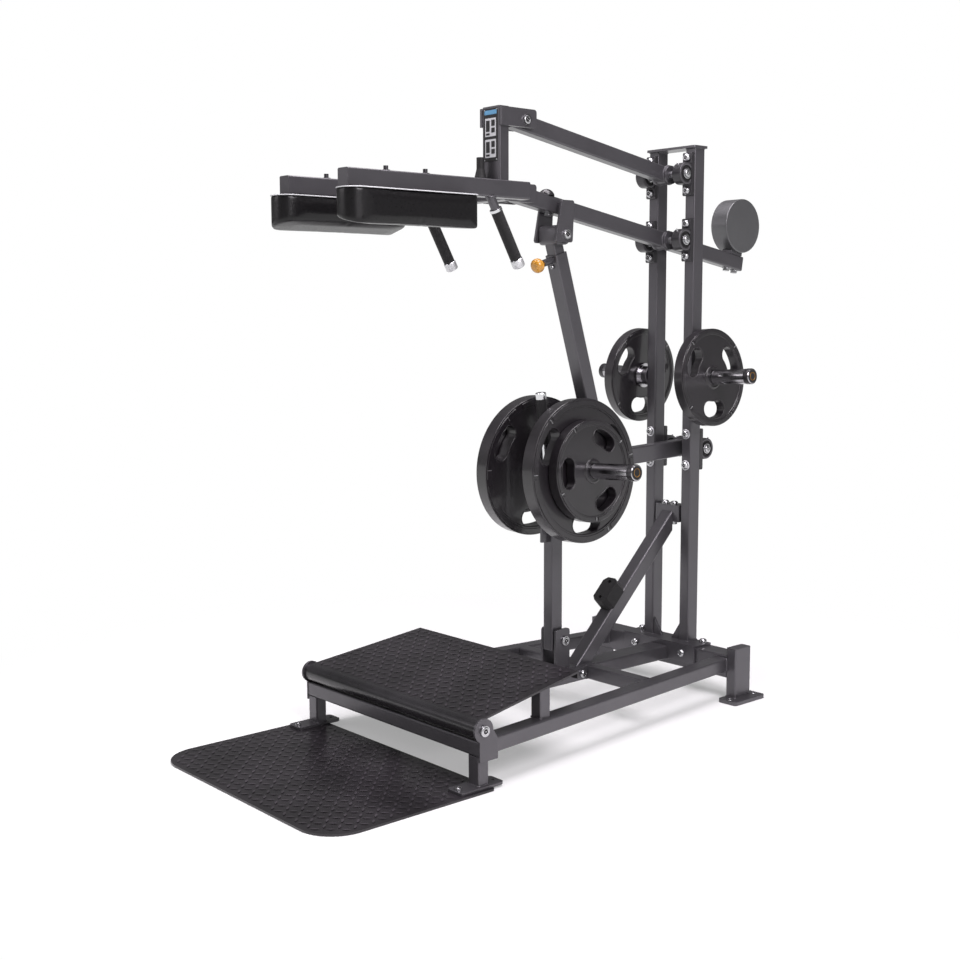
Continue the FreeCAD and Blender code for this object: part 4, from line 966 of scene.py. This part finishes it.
def lozenge_mesh(sizes):
    """One lozenge, stepped up to its crown and pinched towards its two tips."""
    bm = bmesh.new()
    bmesh.ops.create_circle(bm, cap_ends=True, segments=8, radius=0.5)
    top = bm.faces[:][0]
    for inset, rise in LOZENGE_SHARES:
        bmesh.ops.inset_region(bm, faces=[top], thickness=inset)
        top = next(f for f in bm.faces if len(f.verts) == 8)
        bmesh.ops.translate(bm, verts=top.verts, vec=Z * rise)
    for vert in bm.verts:
        reach = abs(vert.co.x) * 2
        vert.co.y *= 1 - LOZENGE_PINCH_SHARE * reach * reach
    scale = Vector((sizes.lozenge_length, sizes.lozenge_width, sizes.lozenge_height))
    bmesh.ops.scale(bm, vec=scale, verts=bm.verts)
    mesh = bpy.data.meshes.new("lozenge")
    bm.to_mesh(mesh)
    bm.free()
    return mesh


def tread_field(name, low, high, place, keep):
    """Raised lozenges, each turned against its neighbours, on a flat patch moved by place."""
    sizes = bpy.context.scene.squat_sizes
    unit = lozenge_mesh(sizes)
    bm = bmesh.new()
    counts = [int((high[k] - low[k]) / sizes.lozenge_pitch) + 1 for k in (0, 1)]
    for i in range(counts[0]):
        for j in range(counts[1]):
            x, y = (low[k] + (n + 0.5) * (high[k] - low[k]) / counts[k] for k, n in enumerate((i, j)))
            if not keep(x, y):
                continue
            turn = math.radians(LOZENGE_TURN if (i + j) % 2 else -LOZENGE_TURN)
            matrix = place @ Matrix.Translation((x, y, 0)) @ Matrix.Rotation(turn, 4, "Z")
            bm.from_mesh(unit)
            bm.verts.ensure_lookup_table()
            bmesh.ops.transform(bm, matrix=matrix, verts=bm.verts[-len(unit.vertices):])
    bpy.data.meshes.remove(unit)
    # The lozenges take the paler tread, a painted highlight.
    settle(bm, name, "lozenge", "frame", smooth=50)


class SQUAT_OT_treads(bpy.types.Operator):
    """Raises the lozenges of the floor plate and the foot platform"""

    bl_idname = "squat.treads"
    bl_label = "Treads"

    def execute(self, context):
        low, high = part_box("floor_plate")
        feet_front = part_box("front_legs")[0].y

        def on_floor(x, y):
            dx, dy = high.x - abs(x) - FLOOR_CORNER, y - low.y - FLOOR_CORNER
            if dx < 0 and dy < 0 and math.hypot(dx, dy) > FLOOR_CORNER - TREAD_EDGE:
                return False
            return not (y > feet_front - TREAD_EDGE and abs(x) > FOOT_INNER - TREAD_EDGE)

        corners = ((low.x + TREAD_EDGE, low.y + TREAD_EDGE), (high.x - TREAD_EDGE, high.y - TREAD_EDGE))
        tread_field("floor_tread", *corners, Matrix.Translation((0, 0, high.z)), on_floor)

        deck_low, deck_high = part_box("platform_deck")
        place = platform_place()
        run = (deck_high.y - place.translation.y) / math.cos(DECK_RISE)

        def on_deck(x, y):
            return abs(x) < DECK_HALF - DECK_TAPER * y / run - TREAD_EDGE

        corners = ((deck_low.x + TREAD_EDGE, TREAD_EDGE / 2), (deck_high.x - TREAD_EDGE, run - TREAD_EDGE))
        tread_field("platform_tread", *corners, place, on_deck)
        return {"FINISHED"}


# Shoulder pads


FRONT_CORNER, WIDE_CORNER, TIGHT_CORNER, LOWER_EDGE = 0.044, 0.03, 0.013, 0.0065
PAD_SLOPE, BOARD_INSET, BOARD_TIGHTER = 0.025, 0.002, 0.001
FILL_PRESSURE, FILL_FRAMES, STRETCH_STIFFNESS, BENDING_STIFFNESS = 1.8, 20, 60, 8
SHRINK_SHARE, PIPING_SHARE = 0.55, 0.52


def swell(piece, cap):
    """Fills a closed shell like foam under a cover, and keeps every point near its place."""
    rest = [v.co.copy() for v in piece.data.vertices]
    cloth = piece.modifiers.new("fill", "CLOTH")
    cloth.settings.use_pressure = True
    cloth.settings.uniform_pressure_force = FILL_PRESSURE
    cloth.settings.tension_stiffness = STRETCH_STIFFNESS
    cloth.settings.compression_stiffness = STRETCH_STIFFNESS
    cloth.settings.bending_stiffness = BENDING_STIFFNESS
    cloth.settings.effector_weights.gravity = 0
    scene = bpy.context.scene
    for step in range(1, FILL_FRAMES + 1):
        scene.frame_set(step)
    graph = bpy.context.evaluated_depsgraph_get()
    moved = [v.co.copy() for v in piece.evaluated_get(graph).data.vertices]
    piece.modifiers.clear()
    scene.frame_set(1)
    for vert, start, end in zip(piece.data.vertices, rest, moved):
        shift = end - start
        if shift.length > cap:
            shift *= cap / shift.length
        vert.co = start + shift
    piece.data.update()


def pad_shell(low, high, shrink):
    """The right pad: rounded front, one wide and one tight rear corner, sloping underside."""
    middle = (low + high) / 2
    bm = bmesh.new()
    bmesh.ops.create_cube(bm, size=1.0)
    bmesh.ops.scale(bm, vec=high - low - Vector((2, 2, 2)) * shrink, verts=bm.verts)
    bmesh.ops.translate(bm, vec=middle, verts=bm.verts)
    for vert in bm.verts:
        if vert.co.z < middle.z and vert.co.x < middle.x:
            vert.co.z += PAD_SLOPE
    upright = [e for e in bm.edges if abs((e.verts[0].co - e.verts[1].co).normalized().z) > 0.9]
    front = [e for e in upright if e.verts[0].co.y < middle.y]
    wide = [e for e in upright if e.verts[0].co.y > middle.y and e.verts[0].co.x < middle.x]
    tight = [e for e in upright if e not in front and e not in wide]
    for edges, radius in ((front, FRONT_CORNER), (wide, WIDE_CORNER), (tight, TIGHT_CORNER)):
        bmesh.ops.bevel(bm, geom=edges, offset=radius, segments=8, profile=0.5, affect="EDGES",
                        material=-1)
    top = high.z - shrink
    lower = [e for e in bm.edges if all(abs(v.co.z - top) > 0.02 for v in e.verts)
             and len(e.link_faces) == 2 and e.calc_face_angle() > 0.6]
    bmesh.ops.bevel(bm, geom=lower, offset=LOWER_EDGE, segments=3, profile=0.5, affect="EDGES",
                    material=-1)
    return bm


def pad_cover(context, low, high):
    """The right pad's cover: its shell remeshed, filled, kept under the edging and smoothed."""
    sizes = context.scene.squat_sizes
    shell = pad_shell(low, high, sizes.pad_swell * SHRINK_SHARE)
    cover = settle(shell, "pad_cover_right", "vinyl", "carriage")
    remesh = cover.modifiers.new("grid", "REMESH")
    remesh.mode, remesh.voxel_size = "VOXEL", sizes.pad_voxel
    mesh = bpy.data.meshes.new_from_object(cover.evaluated_get(context.evaluated_depsgraph_get()))
    cover.modifiers.clear()
    cover.data = mesh
    swell(cover, sizes.pad_swell)
    for vert in mesh.vertices:
        vert.co.z = min(vert.co.z, high.z - sizes.edging)
    bm = bmesh.new()
    bm.from_mesh(mesh)
    for _ in range(3):
        bmesh.ops.smooth_vert(bm, verts=bm.verts, factor=0.5, use_axis_x=True, use_axis_y=True,
                              use_axis_z=True)
    bm.to_mesh(mesh)
    bm.free()
    coat(cover, "vinyl")
    return cover


def pad_outline(low, high, side):
    """The closed outline of a pad's board, at its top, for the right or the left side."""
    x0, x1, y0, y1 = low.x + BOARD_INSET, high.x - BOARD_INSET, low.y + BOARD_INSET, high.y - BOARD_INSET
    points = []
    for x, y, corner, start in ((x1, y0, FRONT_CORNER, -90), (x1, y1, TIGHT_CORNER, 0),
                                (x0, y1, WIDE_CORNER, 90), (x0, y0, FRONT_CORNER, 180)):
        radius = corner - BOARD_TIGHTER
        centre = Vector((x - radius if x == x1 else x + radius, y - radius if y == y1 else y + radius,
                         high.z))
        points += quarter(centre, X, Y, radius, start, 10)
    return [Vector((side * p.x, p.y, p.z)) for p in points]


class SQUAT_OT_pads(bpy.types.Operator):
    """Fills the shoulder pads and fits their boards and edging, painted pale as the highlight along their
    top edge
    """

    bl_idname = "squat.pads"
    bl_label = "Shoulder pads"

    def execute(self, context):
        edging = context.scene.squat_sizes.edging
        low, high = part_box("shoulder_pad_right")
        right = pad_cover(context, low, high)
        twin = bmesh.new()
        twin.from_mesh(right.data)
        bmesh.ops.scale(twin, vec=(-1, 1, 1), verts=twin.verts)
        left = settle(twin, "pad_cover_left", "vinyl", "carriage")
        for pad, node in ((right, "shoulder_pad_right"), (left, "shoulder_pad_left")):
            for face in pad.data.polygons:
                face.use_smooth = True
            finer = pad.modifiers.new("smooth", "SUBSURF")
            finer.levels = finer.render_levels = 1
            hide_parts(node)
        for side, word in SIDES:
            outline = pad_outline(low, high, side)
            board, piping = bmesh.new(), bmesh.new()
            prism(board, [p - Z * edging for p in outline], Z * edging)
            settle(board, "pad_board_" + word, "roller", "carriage", smooth=40)
            # The pale piping paints the highlight along the pad's top edge.
            bead_along(piping, [p - Z * edging / 2 for p in outline], Z, edging * PIPING_SHARE)
            settle(piping, "pad_piping_" + word, "edging", "carriage", smooth=80)
        return {"FINISHED"}


# Stage


# The floor glows more with its distance from the machine, so that it ends in plain white
FLOOR_HALF, FLOOR_GAP, FLOOR_WHITE = 40.0, 0.0006, (0.9, 0.9, 0.9)
GLOW_START, GLOW_FULL, GLOW_NEAR = 1.15, 2.1, 0.32

STUDIO_LEVEL = 0.17
LAMP_COLOUR, LAMP_AIM = (1.0, 0.955, 1.0), Vector((0, 0, 0.9))
LAMPS = (
    # name, place, width, height, power
    ("key_lamp", (4.0, -1.1, 3.5), 2.2, 2.4, 165),
    ("front_lamp", (-2.6, -4.0, 3.0), 2.2, 2.2, 30),
    ("top_lamp", (0.0, -0.2, 4.6), 3.4, 3.4, 255),
)

CAMERA_PLACE, CAMERA_LENS, CAMERA_SENSOR = (3.0412, -2.86135, 1.2746), 50.5, 36.0
AZIMUTH, ELEVATION, ROLL = math.radians(48.9), math.radians(7.0), math.radians(-0.2)


def place_floor(scene):
    bm = bmesh.new()
    bmesh.ops.create_grid(bm, x_segments=2, y_segments=2, size=FLOOR_HALF)
    bmesh.ops.translate(bm, vec=Z * -FLOOR_GAP, verts=bm.verts)
    mesh = bpy.data.meshes.new("floor")
    bm.to_mesh(mesh)
    bm.free()
    floor = bpy.data.objects.new("floor", mesh)
    scene.collection.objects.link(floor)
    white = Finish("floor_white", FLOOR_WHITE, 0.9, Specular_IOR_Level=0.0)
    reach = white.add("ShaderNodeVectorMath", {"operation": "LENGTH"}, white.place(), output="Value")
    glow = white.add("ShaderNodeEmission", Strength=1.0)
    surface = white.add("ShaderNodeMixShader", {}, reach.step(GLOW_START, GLOW_FULL, GLOW_NEAR),
                        Signal(white, white.shader.outputs[0]), glow)
    white.feed(white.nodes["Material Output"].inputs["Surface"], surface)
    mesh.materials.append(white.material)


def place_world(scene):
    """A dim, even light that the camera sees as plain white."""
    world = bpy.data.worlds.new("studio")
    world.use_nodes = True
    studio = Nodes(world.node_tree)
    rays = [studio.add("ShaderNodeLightPath", output="Is " + kind + " Ray")
            for kind in ("Camera", "Transmission")]
    seen = studio.add("ShaderNodeMath", {"operation": "MAXIMUM"}, *rays)
    background = studio.nodes["Background"]
    studio.feed(background.inputs["Color"], (1, 1, 1, 1))
    studio.feed(background.inputs["Strength"],
                studio.add("ShaderNodeMapRange", {}, seen, 0.0, 1.0, STUDIO_LEVEL, 1.0))
    scene.world = world


def place_lamps(scene):
    for name, place, width, height, power in LAMPS:
        lamp = bpy.data.lights.new(name, "AREA")
        lamp.color, lamp.energy = LAMP_COLOUR, power
        lamp.shape, lamp.size, lamp.size_y = "RECTANGLE", width, height
        holder = bpy.data.objects.new(name, lamp)
        scene.collection.objects.link(holder)
        holder.location = place
        holder.rotation_mode = "QUATERNION"
        holder.rotation_quaternion = (LAMP_AIM - Vector(place)).to_track_quat("-Z", "Y")


def place_camera(scene):
    data = bpy.data.cameras.new("camera")
    data.sensor_width, data.lens = CAMERA_SENSOR, CAMERA_LENS
    camera = bpy.data.objects.new("camera", data)
    scene.collection.objects.link(camera)
    ahead = Vector((-math.sin(AZIMUTH) * math.cos(ELEVATION), math.cos(AZIMUTH) * math.cos(ELEVATION),
                    -math.sin(ELEVATION)))
    camera.location = CAMERA_PLACE
    camera.rotation_mode = "QUATERNION"
    turn = Matrix.Rotation(ROLL, 4, "Z").to_quaternion()
    camera.rotation_quaternion = ahead.to_track_quat("-Z", "Y") @ turn
    scene.camera = camera


class SQUAT_OT_stage(bpy.types.Operator):
    """Sets the floor, the world, the soft lamps and the camera"""

    bl_idname = "squat.stage"
    bl_label = "Stage"

    def execute(self, context):
        scene = context.scene
        scene.view_settings.view_transform = "Standard"
        place_floor(scene)
        place_world(scene)
        place_lamps(scene)
        place_camera(scene)
        return {"FINISHED"}


# Paint, panel and steps


class SQUAT_OT_paint(bpy.types.Operator):
    """Mixes the finishes and coats every part of the frame"""

    bl_idname = "squat.paint"
    bl_label = "Paint"

    def execute(self, context):
        mix_finishes(context.scene.squat_colours)
        chosen = {node: finish for finish, nodes in NODE_FINISH.items() for node in nodes}
        for node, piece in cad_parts.items():
            coat(piece, chosen.get(node, "paint"))
        return {"FINISHED"}


class SQUAT_PT_panel(bpy.types.Panel):
    """Lists the steps that finish the machine"""

    bl_idname = "SQUAT_PT_panel"
    bl_label = "Squat machine"
    bl_space_type = "VIEW_3D"
    bl_region_type = "UI"
    bl_category = "Squat machine"

    def draw(self, context):
        for step in STEPS:
            self.layout.operator(step.bl_idname)
        for group in (context.scene.squat_sizes, context.scene.squat_colours):
            for key in group.bl_rna.properties.keys():
                if key not in ("rna_type", "name"):
                    self.layout.prop(group, key)


STEPS = (SQUAT_OT_paint, SQUAT_OT_bolts, SQUAT_OT_bearings, SQUAT_OT_plates, SQUAT_OT_sleeves,
         SQUAT_OT_handles, SQUAT_OT_link_head, SQUAT_OT_feet, SQUAT_OT_placard, SQUAT_OT_welds,
         SQUAT_OT_treads, SQUAT_OT_pads, SQUAT_OT_stage)
CLASSES = (SquatSizes, SquatColours, *STEPS, SQUAT_PT_panel)


def register():
    for cls in CLASSES:
        bpy.utils.register_class(cls)
    bpy.types.Scene.squat_sizes = bpy.props.PointerProperty(type=SquatSizes)
    bpy.types.Scene.squat_colours = bpy.props.PointerProperty(type=SquatColours)


def unregister():
    del bpy.types.Scene.squat_colours
    del bpy.types.Scene.squat_sizes
    for cls in reversed(CLASSES):
        bpy.utils.unregister_class(cls)


def main():
    register()
    for step in STEPS:
        group, name = step.bl_idname.split(".")
        getattr(getattr(bpy.ops, group), name)()
    bpy.context.view_layer.update()


if __name__ == "__main__":
    main()
